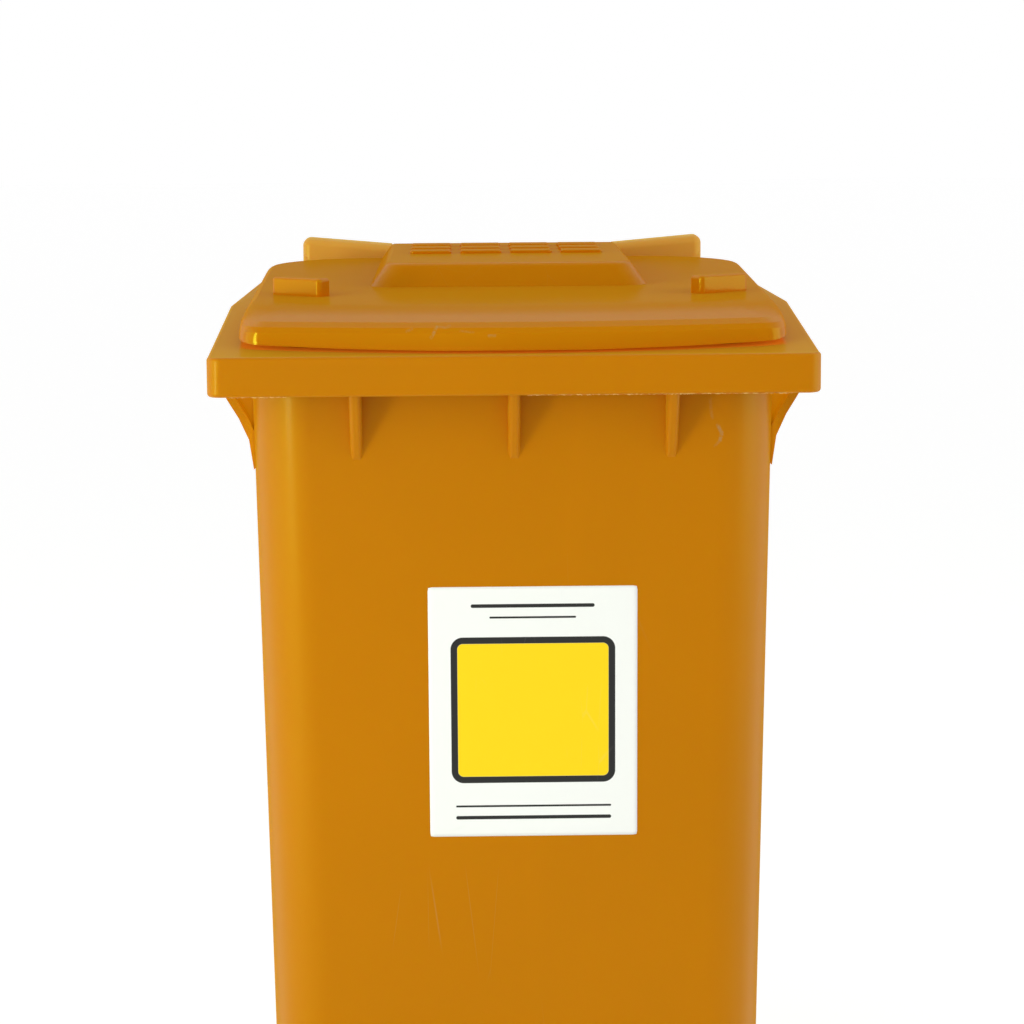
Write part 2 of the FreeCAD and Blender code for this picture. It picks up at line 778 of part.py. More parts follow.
def hinge_pin(side, sign):
    """A headed pin pushed outwards through the lid's lug into the handle bracket."""
    body = new_body(f"hinge_pin_{side}")
    shaft = "pin_head_thickness + pin_head_gap + lug_width + lug_gap + pin_seat - 2"
    profile = [
        (0, 0),
        (0, "pin_head_diameter / 2 - 1.5"),
        (1.5, "pin_head_diameter / 2"),
        ("pin_head_thickness", "pin_head_diameter / 2"),
        ("pin_head_thickness", "pin_diameter / 2"),
        (f"{shaft} - 2", "pin_diameter / 2"),
        (shaft, "pin_diameter / 2 - 2"),
        (shaft, 0),
    ]
    revolve(body, outline(body, body.Name + "_half", "XZ_Plane", profile))
    head = "bracket_inner - lug_gap - lug_width - pin_head_gap - pin_head_thickness"
    turn = Rotation(Vector(0, 0, 1), 0 if sign > 0 else 180)
    place(body, f"{sign} * ({head})", "hinge_back", "hinge_height", turn)
    return finished(body, f"hinge_pin_{side}")


# ---------------------------------------------------------------- wheels and axle


def at_wheel(thing, sign, x=0, z=0):
    """Puts a wheel piece, drawn about the wheel's centre and facing +X, in its place."""
    turn = Rotation(Vector(0, 0, 1), 0 if sign > 0 else 180)
    return place(thing, f"{sign} * (wheel_centre + {x})", "axle_back", f"wheel_radius + {z}", turn)


def axle():
    """A steel bar with a latch groove near each end."""
    body = new_body("axle_bar")
    groove_start = "groove_centre - groove_width / 2"
    groove_end = "groove_centre + groove_width / 2"
    radius = "axle_diameter / 2"
    right = [
        (groove_start, radius),
        (groove_start, f"{radius} - groove_depth"),
        (groove_end, f"{radius} - groove_depth"),
        (groove_end, radius),
        ("axle_end - axle_chamfer", radius),
        ("axle_end", f"{radius} - axle_chamfer"),
        ("axle_end", 0),
    ]
    left = [(f"-({x})", r) for x, r in reversed(right)]
    revolve(body, outline(body, "axle_half", "XZ_Plane", left + right))
    place(body, 0, "axle_back", "wheel_radius")
    return finished(body, "axle")


def tyre(side, sign):
    body = new_body(f"tyre_{side}")
    inner = "wheel_radius - tyre_thickness"
    half = "tyre_width / 2"
    profile = [
        (f"-({half}) + 2", inner),
        (f"-({half})", f"{inner} + 4"),
        (f"-({half})", "wheel_radius - tyre_round"),
        (f"-({half}) + tyre_round * 0.3", "wheel_radius - tyre_round * 0.3"),
        (f"-({half}) + tyre_round", "wheel_radius"),
        (f"{half} - tyre_round", "wheel_radius"),
        (f"{half} - tyre_round * 0.3", "wheel_radius - tyre_round * 0.3"),
        (half, "wheel_radius - tyre_round"),
        (half, f"{inner} + 4"),
        (f"{half} - 2", inner),
    ]
    revolve(body, outline(body, body.Name + "_half", "XZ_Plane", profile))
    return finished(at_wheel(body, sign), f"tyre_{side}")


def wheel_rim(side, sign):
    """The plastic wheel: hub, disc with six windows, ring, and the boss that holds the latch."""
    body = new_body(f"wheel_disc_{side}")
    bore = "axle_diameter / 2 + axle_clearance"
    ring = "(wheel_radius - tyre_thickness - tyre_clearance)"
    profile = [
        ("-hub_inner_reach", bore),
        ("-hub_inner_reach", "hub_radius - 2"),
        ("-hub_inner_reach + 2", "hub_radius"),
        ("-disc_thickness / 2", "hub_radius + 2"),
        ("-disc_thickness / 2", f"{ring} - rim_ring"),
        ("-rim_width / 2", f"{ring} - rim_ring + 3"),
        ("-rim_width / 2", ring),
        ("rim_width / 2", ring),
        ("rim_width / 2", f"{ring} - rim_ring + 3"),
        ("disc_thickness / 2", f"{ring} - rim_ring"),
        ("disc_thickness / 2", "hub_radius + 2"),
        ("hub_outer_reach", "hub_radius"),
        ("hub_outer_reach", bore),
    ]
    revolve(body, outline(body, body.Name + "_half", "XZ_Plane", profile))
    half_angle = 30
    spread = math.tan(math.radians(half_angle))
    window = [
        (f"-window_inner * {spread} + spoke_width / 2", "window_inner"),
        (f"window_inner * {spread} - spoke_width / 2", "window_inner"),
        (f"window_outer * {spread} * 0.9 - spoke_width / 2", "window_outer"),
        (f"-window_outer * {spread} * 0.9 + spoke_width / 2", "window_outer"),
    ]
    opening = pocket(body, outline(body, body.Name + "_window", "YZ_Plane", window))
    turned = body.newObject("PartDesign::PolarPattern", body.Name + "_windows")
    turned.Originals = [opening]
    turned.Axis = (origin_feature(body, "X_Axis"), [""])
    turned.Angle = 360
    turned.Occurrences = 6
    body.Tip = turned
    place(body, turn=Rotation(Vector(1, 0, 0), half_angle))
    boss = doc.addObject("Part::Cylinder", f"latch_boss_{side}")
    bind(boss, Radius="latch_boss / 2", Height="latch_boss_reach - hub_radius + 2 * axle_chamfer")
    place(boss, "groove_centre - wheel_centre", 0, "hub_radius - 2 * axle_chamfer")
    hole = doc.addObject("Part::Cylinder", f"latch_bore_{side}")
    bind(hole, Radius="latch_diameter / 2 + latch_clearance", Height=f"latch_boss_reach + {OVERLAP}")
    place(hole, "groove_centre - wheel_centre")
    solid = fuse(f"wheel_solid_{side}", [body, boss])
    return finished(at_wheel(cut(f"wheel_{side}", solid, hole), sign), f"wheel_rim_{side}")


def latch_foot():
    """Where the latch's tip stands, just clear of the groove's floor, from the axle's centre."""
    return "axle_diameter / 2 - groove_depth + latch_clearance"


def latch(side, sign):
    """The sprung plunger that drops into the axle's groove and keeps the wheel on."""
    pin = doc.addObject("Part::Cylinder", f"latch_pin_{side}")
    bind(pin, Radius="latch_diameter / 2", Height="latch_length")
    at_wheel(pin, sign, "groove_centre - wheel_centre", latch_foot())
    return finished(pin, f"latch_plunger_{side}")


def latch_spring(side, sign):
    room = f"latch_boss_reach - latch_plug - ({latch_foot()}) - latch_length"
    coil = doc.addObject("Part::Helix", f"spring_path_{side}")
    bind(
        coil,
        Pitch=f"({room} - spring_wire - 0.2) / spring_turns",
        Height=f"{room} - spring_wire - 0.2",
        Radius="(spring_diameter - spring_wire) / 2",
    )
    wire = doc.addObject("Part::Circle", f"spring_wire_{side}")
    bind(wire, Radius="spring_wire / 2")
    place(wire, "(spring_diameter - spring_wire) / 2", 0, 0, Rotation(Vector(1, 0, 0), 90))
    swept = doc.addObject("Part::Sweep", f"spring_{side}")
    swept.Sections = [wire]
    swept.Spine = (coil, ["Edge1"])
    swept.Solid = True
    swept.Frenet = True
    at_wheel(swept, sign, "groove_centre - wheel_centre", f"{latch_foot()} + latch_length + spring_wire / 2 + 0.1")
    return finished(swept, f"latch_spring_{side}")


def latch_plug(side, sign):
    """The plug that closes the latch's bore and backs its spring."""
    body = new_body(f"latch_stop_{side}")
    profile = [
        (0, 0),
        ("latch_diameter / 2 + latch_clearance - plug_clearance", 0),
        ("latch_diameter / 2 + latch_clearance - plug_clearance", "latch_plug"),
        ("latch_boss / 2 - 1", "latch_plug"),
        ("latch_boss / 2 - 1", "latch_plug + 1"),
        ("latch_boss / 2 - 2", "latch_plug + 2"),
        (0, "latch_plug + 2"),
    ]
    sketch = outline(body, body.Name + "_half", "XZ_Plane", profile)
    turned = revolve(body, sketch)
    turned.ReferenceAxis = (sketch, ["V_Axis"])
    at_wheel(body, sign, "groove_centre - wheel_centre", "latch_boss_reach - latch_plug")
    return finished(body, f"latch_plug_{side}")


def axle_washer(side, sign):
    """A plain washer between the wheel's hub and the outer axle web."""
    disc = doc.addObject("Part::Cylinder", f"washer_disc_{side}")
    bind(disc, Radius="washer_diameter / 2", Height="washer_thickness")
    hole = doc.addObject("Part::Cylinder", f"washer_hole_{side}")
    bind(hole, Radius="axle_diameter / 2 + axle_clearance", Height="washer_thickness")
    ring = cut(f"washer_{side}", disc, hole)
    centre = "(well_face + wheel_centre - hub_inner_reach) / 2 - washer_thickness / 2"
    turn = Rotation(Vector(0, 1, 0), 90 if sign > 0 else -90)
    place(ring, f"{sign} * ({centre})", "axle_back", "wheel_radius", turn)
    return finished(ring, f"axle_washer_{side}")


def hub_cap(side, sign):
    """A dished cap that covers the axle's end."""
    body = new_body(f"cap_{side}")
    profile = [
        ("cap_gap", "hub_radius - 5"),
        ("cap_gap", "cap_diameter / 2"),
        ("cap_thickness * 0.6", "cap_diameter / 2"),
        ("cap_thickness", "cap_diameter / 2 - 4"),
        ("cap_thickness", 0),
        ("cap_thickness - 2.5", 0),
        ("cap_thickness - 2.5", "hub_radius - 5"),
    ]
    revolve(body, outline(body, body.Name + "_half", "XZ_Plane", profile))
    at_wheel(body, sign, "hub_outer_reach")
    return finished(body, f"hub_cap_{side}")


# ---------------------------------------------------------------- label


def label():
    """A vinyl sheet lying on the sloping front wall."""
    body = new_body("label_sheet")
    low = "(label_centre - label_height / 2)"
    high = "(label_centre + label_height / 2)"
    side = [
        (front_wall(low), low),
        (front_wall(low, "label_thickness"), low),
        (front_wall(high, "label_thickness"), high),
        (front_wall(high), high),
    ]
    pad(body, outline(body, "label_side", "YZ_Plane", side, "label_offset"), "label_width")
    return finished(body, "label")


# ---------------------------------------------------------------- the whole bin


def build():
    bin_body()
    lid()
    axle()
    label()
    for side, sign in SIDES:
        hinge_pin(side, sign)
        tyre(side, sign)
        wheel_rim(side, sign)
        latch(side, sign)
        latch_spring(side, sign)
        latch_plug(side, sign)
        axle_washer(side, sign)
        hub_cap(side, sign)
    doc.recompute()


def check():
    """Stops if any object failed to build."""
    for thing in doc.Objects:
        if "Invalid" in thing.State or "Error" in thing.State:
            raise RuntimeError(f"{thing.Name} failed: {thing.State}")
    for thing in subparts:
        if thing.Shape.isNull() or not thing.Shape.isValid() or not thing.Shape.Solids:
            raise RuntimeError(f"{thing.Label} has no valid solid")


def write():
    os.makedirs("parts", exist_ok=True)
    for thing in subparts:
        thing.Shape.exportStep(f"parts/{thing.Label}.step")
        bounds = thing.Shape.BoundBox
        print(f"{thing.Label}: {len(thing.Shape.Solids)} solid, {thing.Shape.Volume / 1000:.1f} cm3, "
              f"{bounds.XLength:.1f} x {bounds.YLength:.1f} x {bounds.ZLength:.1f} mm")


build()
check()
write()
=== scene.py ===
import math

import bmesh
import bpy
from mathutils import Matrix, Vector


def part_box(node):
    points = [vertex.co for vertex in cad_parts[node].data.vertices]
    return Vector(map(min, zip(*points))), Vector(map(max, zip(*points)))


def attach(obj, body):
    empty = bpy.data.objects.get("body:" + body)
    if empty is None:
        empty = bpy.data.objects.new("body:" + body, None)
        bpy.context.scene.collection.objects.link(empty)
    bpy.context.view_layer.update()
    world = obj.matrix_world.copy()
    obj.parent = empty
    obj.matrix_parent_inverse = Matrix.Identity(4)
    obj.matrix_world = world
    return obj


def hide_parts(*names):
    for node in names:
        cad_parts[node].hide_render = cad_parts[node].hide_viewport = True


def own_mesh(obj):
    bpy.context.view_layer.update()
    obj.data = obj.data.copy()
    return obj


bl_info = {
    "name": "Two-wheeled waste bin",
    "version": (1, 0, 0),
    "blender": (4, 5, 0),
    "location": "3D View > Sidebar > Waste Bin",
    "description": "Dresses the packed bin: moulded tub and lid, printed label, tyres, wheels and fittings",
    "category": "Object",
}

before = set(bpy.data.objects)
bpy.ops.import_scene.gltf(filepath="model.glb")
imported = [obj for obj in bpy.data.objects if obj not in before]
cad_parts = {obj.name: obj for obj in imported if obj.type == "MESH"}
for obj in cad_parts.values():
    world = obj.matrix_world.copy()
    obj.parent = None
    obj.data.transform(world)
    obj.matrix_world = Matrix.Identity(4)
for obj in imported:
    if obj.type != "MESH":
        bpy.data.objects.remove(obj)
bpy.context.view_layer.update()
SIDES = (("left", -1), ("right", 1))

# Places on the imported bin, in metres.
AXLE_LINE = (0, 0.232, 0.1)  # a point on the line that the wheels turn about
WHEEL_MIDDLE = 0.244  # X of the right wheel's disc
LIP_LOW = 0.962  # the lower edge of the lifting lip
GRIPS_FRONT, GRIPS_LOW = 0.315, 1.026  # the handle's grips lie behind this Y and above this Z
LID_EDGE = -0.345  # Y of the lid's front edge, in its middle
LID_BOW = 0.41  # how fast that edge curves back towards the sides

FACET_LIMIT = math.radians(13)  # facets that turn by less than this are shaded as one skin
GAP_REACH = 0.045  # a surface within this distance makes a gap
FLOOR_LIFT = 0.42  # light that the floor adds where the camera or a gloss sees it

# Scratches: points (X, Z) that strokes join, the strokes' width, and their depth from 0 to 1.
TUB_SCRATCHES = (
    (((0.1879, 0.9525), (0.1887, 0.9415), (0.1901, 0.9335)), 0.0022, 0.35),
    (((0.1955, 0.9263), (0.1994, 0.9186), (0.1977, 0.9119)), 0.0026, 0.95),
    (((0.1977, 0.9119), (0.1927, 0.9062)), 0.0018, 0.5),
)
LID_SCRATCHES = (
    (((-0.0727, 1.0250), (-0.0780, 1.0155)), 0.0022, 0.8),
    (((-0.0715, 1.0253), (-0.0640, 1.0245), (-0.0605, 1.0261)), 0.0018, 0.4),
    (((-0.0505, 1.0215), (-0.0382, 1.0203)), 0.0016, 0.4),
    (((-0.0233, 1.0170), (-0.0180, 1.0170)), 0.0022, 0.6),
    (((-0.1010, 1.0213), (-0.0965, 1.0235)), 0.0020, 0.4),
)

# Blank rules on the label: height above its middle, width and thickness.
RULES = (
    (0.1060, 0.120, 0.0036), (0.0945, 0.084, 0.0020),
    (-0.0945, 0.152, 0.0020), (-0.1060, 0.152, 0.0036))
PANEL_RISE = 0.002  # how far the panel's middle is above the label's
SHEET_THICK = 0.0004  # of the label's CAD node
PRINT_THICK = 0.0003  # of the printed sheet, which leaves room for its ripple
SHEET_RIPPLE = 0.00005  # how far the sheet wanders to either side

# Torn flash under the lip: name, first X, last X and seed.
FLASHES = (("lip_flash_right", 0.012, 0.262, 4), ("lip_flash_left", -0.268, -0.214, 9))
FLASH_STEP = 0.0011  # distance between two points of its line
FLASH_LEAST = 0.00012  # its least half thickness

TYRE_DEPTH = 0.023  # from the tread's top down to the bore
LUG_SHARE = 0.66  # of the way from one lug to the next that a lug takes up
LUG_WIDTH = 0.0115
LUG_ROOT = 0.0006  # how deep a lug's foot stands in the tyre
ROW_GAP = 0.0130  # between the middles of two rows of lugs
TREAD_FOOT, TREAD_TOP = 0.0935, 0.0990  # radii between which the tread's dust sets in

SPOKES = 6
RIB_START = 0.024  # from the wheel's middle to the ribs on its spokes
RIB_STOP = 0.009  # how far short of the rim's edge they end
RIB_WIDTH, RIB_HEIGHT = 0.0042, 0.0046
RIB_FOOT = 0.0034  # how far from the disc's middle they stand on a spoke

CAMERA_PLACE = (-0.055, -3.215, 1.271)
CAMERA_TURN, CAMERA_TILT, CAMERA_ROLL = math.radians(1.037), math.radians(8.37), math.radians(0.4)


# ---------------------------------------------------------------- sizes and colours


class PlasticSettings(bpy.types.PropertyGroup):
    colour: bpy.props.FloatVectorProperty(
        name="Plastic", description="Colour of the moulded tub and lid",
        subtype="COLOR", size=3, min=0, max=1, default=(0.540, 0.162, 0.0))
    # Painted shade: a deeper, redder colour painted in narrow gaps, in creases and where the closed lid
    # covers the rim; it is not a colour that the sun leaves.
    gap_shade_colour: bpy.props.FloatVectorProperty(
        name="Sheltered plastic", description="Deeper colour of the plastic that the sun doesn't fade",
        subtype="COLOR", size=3, min=0, max=1, default=(0.80, 0.125, 0.0))
    gap_glow: bpy.props.FloatVectorProperty(
        name="Gap glow", description="Light that comes through the thin plastic into a narrow gap",
        subtype="COLOR", size=3, min=0, max=1, default=(0.24, 0.035, 0.0))
    gusset_glow: bpy.props.FloatVectorProperty(
        name="Gusset glow", description="Light that comes through the thin corner gussets",
        subtype="COLOR", size=3, min=0, max=1, default=(0.25, 0.12, 0.0))
    wall_wave: bpy.props.FloatProperty(
        name="Wall wave", description="How far the moulded walls wander from flat",
        unit="LENGTH", default=0.0012, min=0, max=0.01, precision=4)
    grain: bpy.props.FloatProperty(
        name="Grain", description="Depth of the fine moulding grain",
        unit="LENGTH", default=0.00004, min=0, max=0.001, precision=5)
    flash_height: bpy.props.FloatProperty(
        name="Flash", description="Height of the thin moulding flash along the lip's lower edge",
        unit="LENGTH", default=0.0014, min=0, max=0.004, precision=4)


class LabelSettings(bpy.types.PropertyGroup):
    corner: bpy.props.FloatProperty(
        name="Corner", description="Radius of the label's cut corners",
        unit="LENGTH", default=0.002, min=0, max=0.02, precision=4)
    panel_width: bpy.props.FloatProperty(
        name="Panel width", description="Width of the printed panel, with its border",
        unit="LENGTH", default=0.160, min=0.02, max=0.19)
    panel_height: bpy.props.FloatProperty(
        name="Panel height", description="Height of the printed panel, with its border",
        unit="LENGTH", default=0.146, min=0.02, max=0.2)
    panel_corner: bpy.props.FloatProperty(
        name="Panel corner", description="Radius of the printed panel's corners",
        unit="LENGTH", default=0.012, min=0.001, max=0.05)
    border: bpy.props.FloatProperty(
        name="Border", description="Width of the dark line round the panel",
        unit="LENGTH", default=0.0065, min=0.001, max=0.02, precision=4)
    panel_colour: bpy.props.FloatVectorProperty(
        name="Panel", description="Ink colour inside the border",
        subtype="COLOR", size=3, min=0, max=1, default=(1.0, 0.66, 0.0))
    ink: bpy.props.FloatVectorProperty(
        name="Ink", description="Ink colour of the border and rules",
        subtype="COLOR", size=3, min=0, max=1, default=(0.012, 0.011, 0.012))


class WheelSettings(bpy.types.PropertyGroup):
    lugs: bpy.props.IntProperty(
        name="Lugs", description="Tread lugs in each row round a tyre", default=60, min=12, max=120)
    lug_height: bpy.props.FloatProperty(
        name="Lug height", description="How far the tread stands above the tyre's grooves",
        unit="LENGTH", default=0.0022, min=0.0005, max=0.005, precision=4)
    rubber: bpy.props.FloatVectorProperty(
        name="Rubber", description="Colour of the tyres",
        subtype="COLOR", size=3, min=0, max=1, default=(0.018, 0.018, 0.019))
    plastic: bpy.props.FloatVectorProperty(
        name="Wheel plastic", description="Colour of the wheel discs, caps and latches",
        subtype="COLOR", size=3, min=0, max=1, default=(0.028, 0.028, 0.030))
    steel: bpy.props.FloatVectorProperty(
        name="Steel", description="Colour of the zinc-plated axle",
        subtype="COLOR", size=3, min=0, max=1, default=(0.62, 0.62, 0.63))


class StageSettings(bpy.types.PropertyGroup):
    floor: bpy.props.FloatVectorProperty(
        name="Floor", description="Colour of the studio floor",
        subtype="COLOR", size=3, min=0, max=1, default=(0.80, 0.80, 0.80))
    lens: bpy.props.FloatProperty(
        name="Lens", description="The camera's focal length", default=107.23, min=20, max=300)
    room_light: bpy.props.FloatProperty(
        name="Room light", description="Strength of the soft light from all round",
        default=0.68, min=0, max=3)
    key_light: bpy.props.FloatProperty(
        name="Key light", description="Power of the large front lamp",
        unit="POWER", default=3, min=0, max=1000)
    side_light: bpy.props.FloatProperty(
        name="Side light", description="Power that the lamps beside the bin each take a share of",
        unit="POWER", default=23, min=0, max=1000)


# ---------------------------------------------------------------- materials


class Signal:
    """A socket in a material's node tree. Arithmetic on it adds Math nodes."""

    def __init__(self, paint, socket):
        self.paint = paint
        self.socket = socket

    def math(self, operation, *values):
        return self.paint.node("ShaderNodeMath", {"operation": operation}, dict(enumerate(values)))

    def __add__(self, other):
        return self.math("ADD", self, other)

    def __radd__(self, other):
        return self.math("ADD", other, self)

    def __sub__(self, other):
        return self.math("SUBTRACT", self, other)

    def __rsub__(self, other):
        return self.math("SUBTRACT", other, self)

    def __mul__(self, other):
        return self.math("MULTIPLY", self, other)

    def __rmul__(self, other):
        return self.math("MULTIPLY", other, self)

    def __truediv__(self, other):
        return self.math("DIVIDE", self, other)

    def __pow__(self, other):
        return self.math("POWER", self, other)

    def __abs__(self):
        return self.math("ABSOLUTE", self)

    def high(self, other):
        return self.math("MAXIMUM", self, other)

    def low(self, other):
        return self.math("MINIMUM", self, other)

    def ramp(self, start, end):
        """0 at start, 1 at end, smooth between them."""
        return self.paint.node(
            "ShaderNodeMapRange", {"interpolation_type": "SMOOTHSTEP"},
            {0: self, 1: start, 2: end, 3: 0.0, 4: 1.0})

    def output(self, name):
        return Signal(self.paint, self.socket.node.outputs[name])


class Paint:
    """A material whose nodes are added by code and end in one Principled shader."""

    def __init__(self, name, **fixed):
        self.material = bpy.data.materials.new(name)
        self.material.use_nodes = True
        self.tree = self.material.node_tree
        self.shader = self.tree.nodes["Principled BSDF"]
        for socket, value in fixed.items():
            self.shader.inputs[socket.replace("_", " ")].default_value = value
        self.place = self.node("ShaderNodeTexCoord", {}, {}).output("Object")

    def node(self, kind, settings, inputs):
        """Adds a node. Settings come first, then a value or a link for each named or numbered socket."""
        made = self.tree.nodes.new(kind)
        for key, value in settings.items():
            setattr(made, key, value)
        for key, value in inputs.items():
            socket = made.inputs[key]
            if isinstance(value, Signal):
                self.tree.links.new(value.socket, socket)
            else:
                socket.default_value = value
        shown = [o for o in made.outputs if o.enabled]
        return Signal(self, shown[0])

    def spot(self, at, scale=(1, 1, 1), turn=(0, 0, 0)):
        """Object coordinates moved so that a point is the origin, then turned and scaled."""
        moved = self.node("ShaderNodeVectorMath", {"operation": "SUBTRACT"}, {0: self.place, 1: at})
        return self.node("ShaderNodeMapping", {}, {"Vector": moved, "Rotation": turn, "Scale": scale})

    def axes(self, vector=None):
        apart = self.node("ShaderNodeSeparateXYZ", {}, {0: vector or self.place})
        return [apart.output(axis) for axis in "XYZ"]

    def noise(self, scale, detail=2.0, rough=0.5, where=None, twist=0.0):
        return self.node(
            "ShaderNodeTexNoise", {}, {
                "Vector": where or self.place, "Scale": scale, "Detail": detail, "Roughness": rough,
                "Distortion": twist})

    def cracks(self, scale, where=None):
        return self.node(
            "ShaderNodeTexVoronoi", {"feature": "DISTANCE_TO_EDGE"},
            {"Vector": where or self.place, "Scale": scale})

    def blend(self, factor, first, second):
        """The first colour where factor is 0, the second where it is 1."""
        colours = [(*c, 1.0) if isinstance(c, tuple) else c for c in (first, second)]
        return self.node("ShaderNodeMix", {"data_type": "RGBA"}, {0: factor, 6: colours[0], 7: colours[1]})

    def bump(self, height, distance, under=None):
        inputs = {"Height": height, "Distance": distance, "Strength": 1.0}
        if under is not None:
            inputs["Normal"] = under
        return self.node("ShaderNodeBump", {}, inputs)

    def openness(self, reach):
        """1 where nothing stands within reach of the surface, down to 0 deep in a gap."""
        return self.node("ShaderNodeAmbientOcclusion", {"samples": 6}, {"Distance": reach}).output("AO")

    def feed(self, **sockets):
        for name, value in sockets.items():
            self.tree.links.new(value.socket, self.shader.inputs[name.replace("_", " ")])
        return self.material

    def dull_edges(self, share):
        """Takes a share of the gloss away where the surface is seen almost edge on."""
        matt = self.tree.nodes.new("ShaderNodeBsdfPrincipled")
        for given, taken in zip(self.shader.inputs, matt.inputs):
            if given.is_linked:
                self.tree.links.new(given.links[0].from_socket, taken)
            elif hasattr(given, "default_value"):
                taken.default_value = given.default_value
        matt.inputs["Specular IOR Level"].default_value = 0.0
        slant = self.node("ShaderNodeLayerWeight", {}, {"Blend": 0.5}).output("Facing")
        mixed = self.tree.nodes.new("ShaderNodeMixShader")
        self.tree.links.new((slant.ramp(0.45, 0.82) * share).socket, mixed.inputs[0])
        self.tree.links.new(self.shader.outputs[0], mixed.inputs[1])
        self.tree.links.new(matt.outputs[0], mixed.inputs[2])
        self.tree.links.new(mixed.outputs[0], self.tree.nodes["Material Output"].inputs["Surface"])
        return self.material


def shade(colour, by):
    return tuple(min(1.0, c * by) for c in colour)


def scratch(paint, start, end, width):
    """A soft scratch between two points, given as (X, Z), on a wall that faces the front."""
    x, _, z = paint.axes()
    run, rise = end[0] - start[0], end[1] - start[1]
    across, up = x - start[0], z - start[1]
    along = ((across * run + up * rise) / (run * run + rise * rise)).high(0.0).low(1.0)
    off_x, off_z = across - along * run, up - along * rise
    return 1 - ((off_x * off_x + off_z * off_z) ** 0.5).ramp(width * 0.2, width)


def scratches(paint, strokes, front):
    """The strongest of some scratches, each a list of points joined by strokes that fade in and out."""
    rub = paint.noise(520, 3, 0.6).ramp(0.30, 0.62)
    found = None
    for points, width, depth in strokes:
        for start, end in zip(points, points[1:]):
            line = scratch(paint, start, end, width) * depth
            found = line if found is None else found.high(line)
    return found * rub * (1 - paint.axes()[1].ramp(front, front + 0.01))


def under_lid(paint, gap):
    """Two masks for the tub: the part of the lip and rim that the closed lid covers, where painted shade
    and painted glow go, and the corner gussets' pockets, where a painted glow goes."""
    x, y, z = paint.axes()
    edge = y - (x * x * LID_BOW + LID_EDGE)
    across = 1 - abs(x).ramp(0.258, 0.264)
    before_handle = 1 - y.ramp(0.285, 0.290)
    covered = edge.ramp(-0.004, 0.002) * before_handle * z.ramp(0.985, 0.990) * across
    height = z.ramp(0.84, 0.90) * (1 - z.ramp(0.965, 0.975))
    pocket = abs(x).ramp(0.250, 0.256) * height * (1 - y.ramp(-0.2, -0.19))
    return covered, pocket * gap.ramp(0.10, 0.40)


def in_gap(_, gap):
    """Two masks for the lid: where another surface stands close, where painted shade and painted glow go,
    and none for gussets.
    """
    return gap.ramp(0.45, 0.85), 0.0


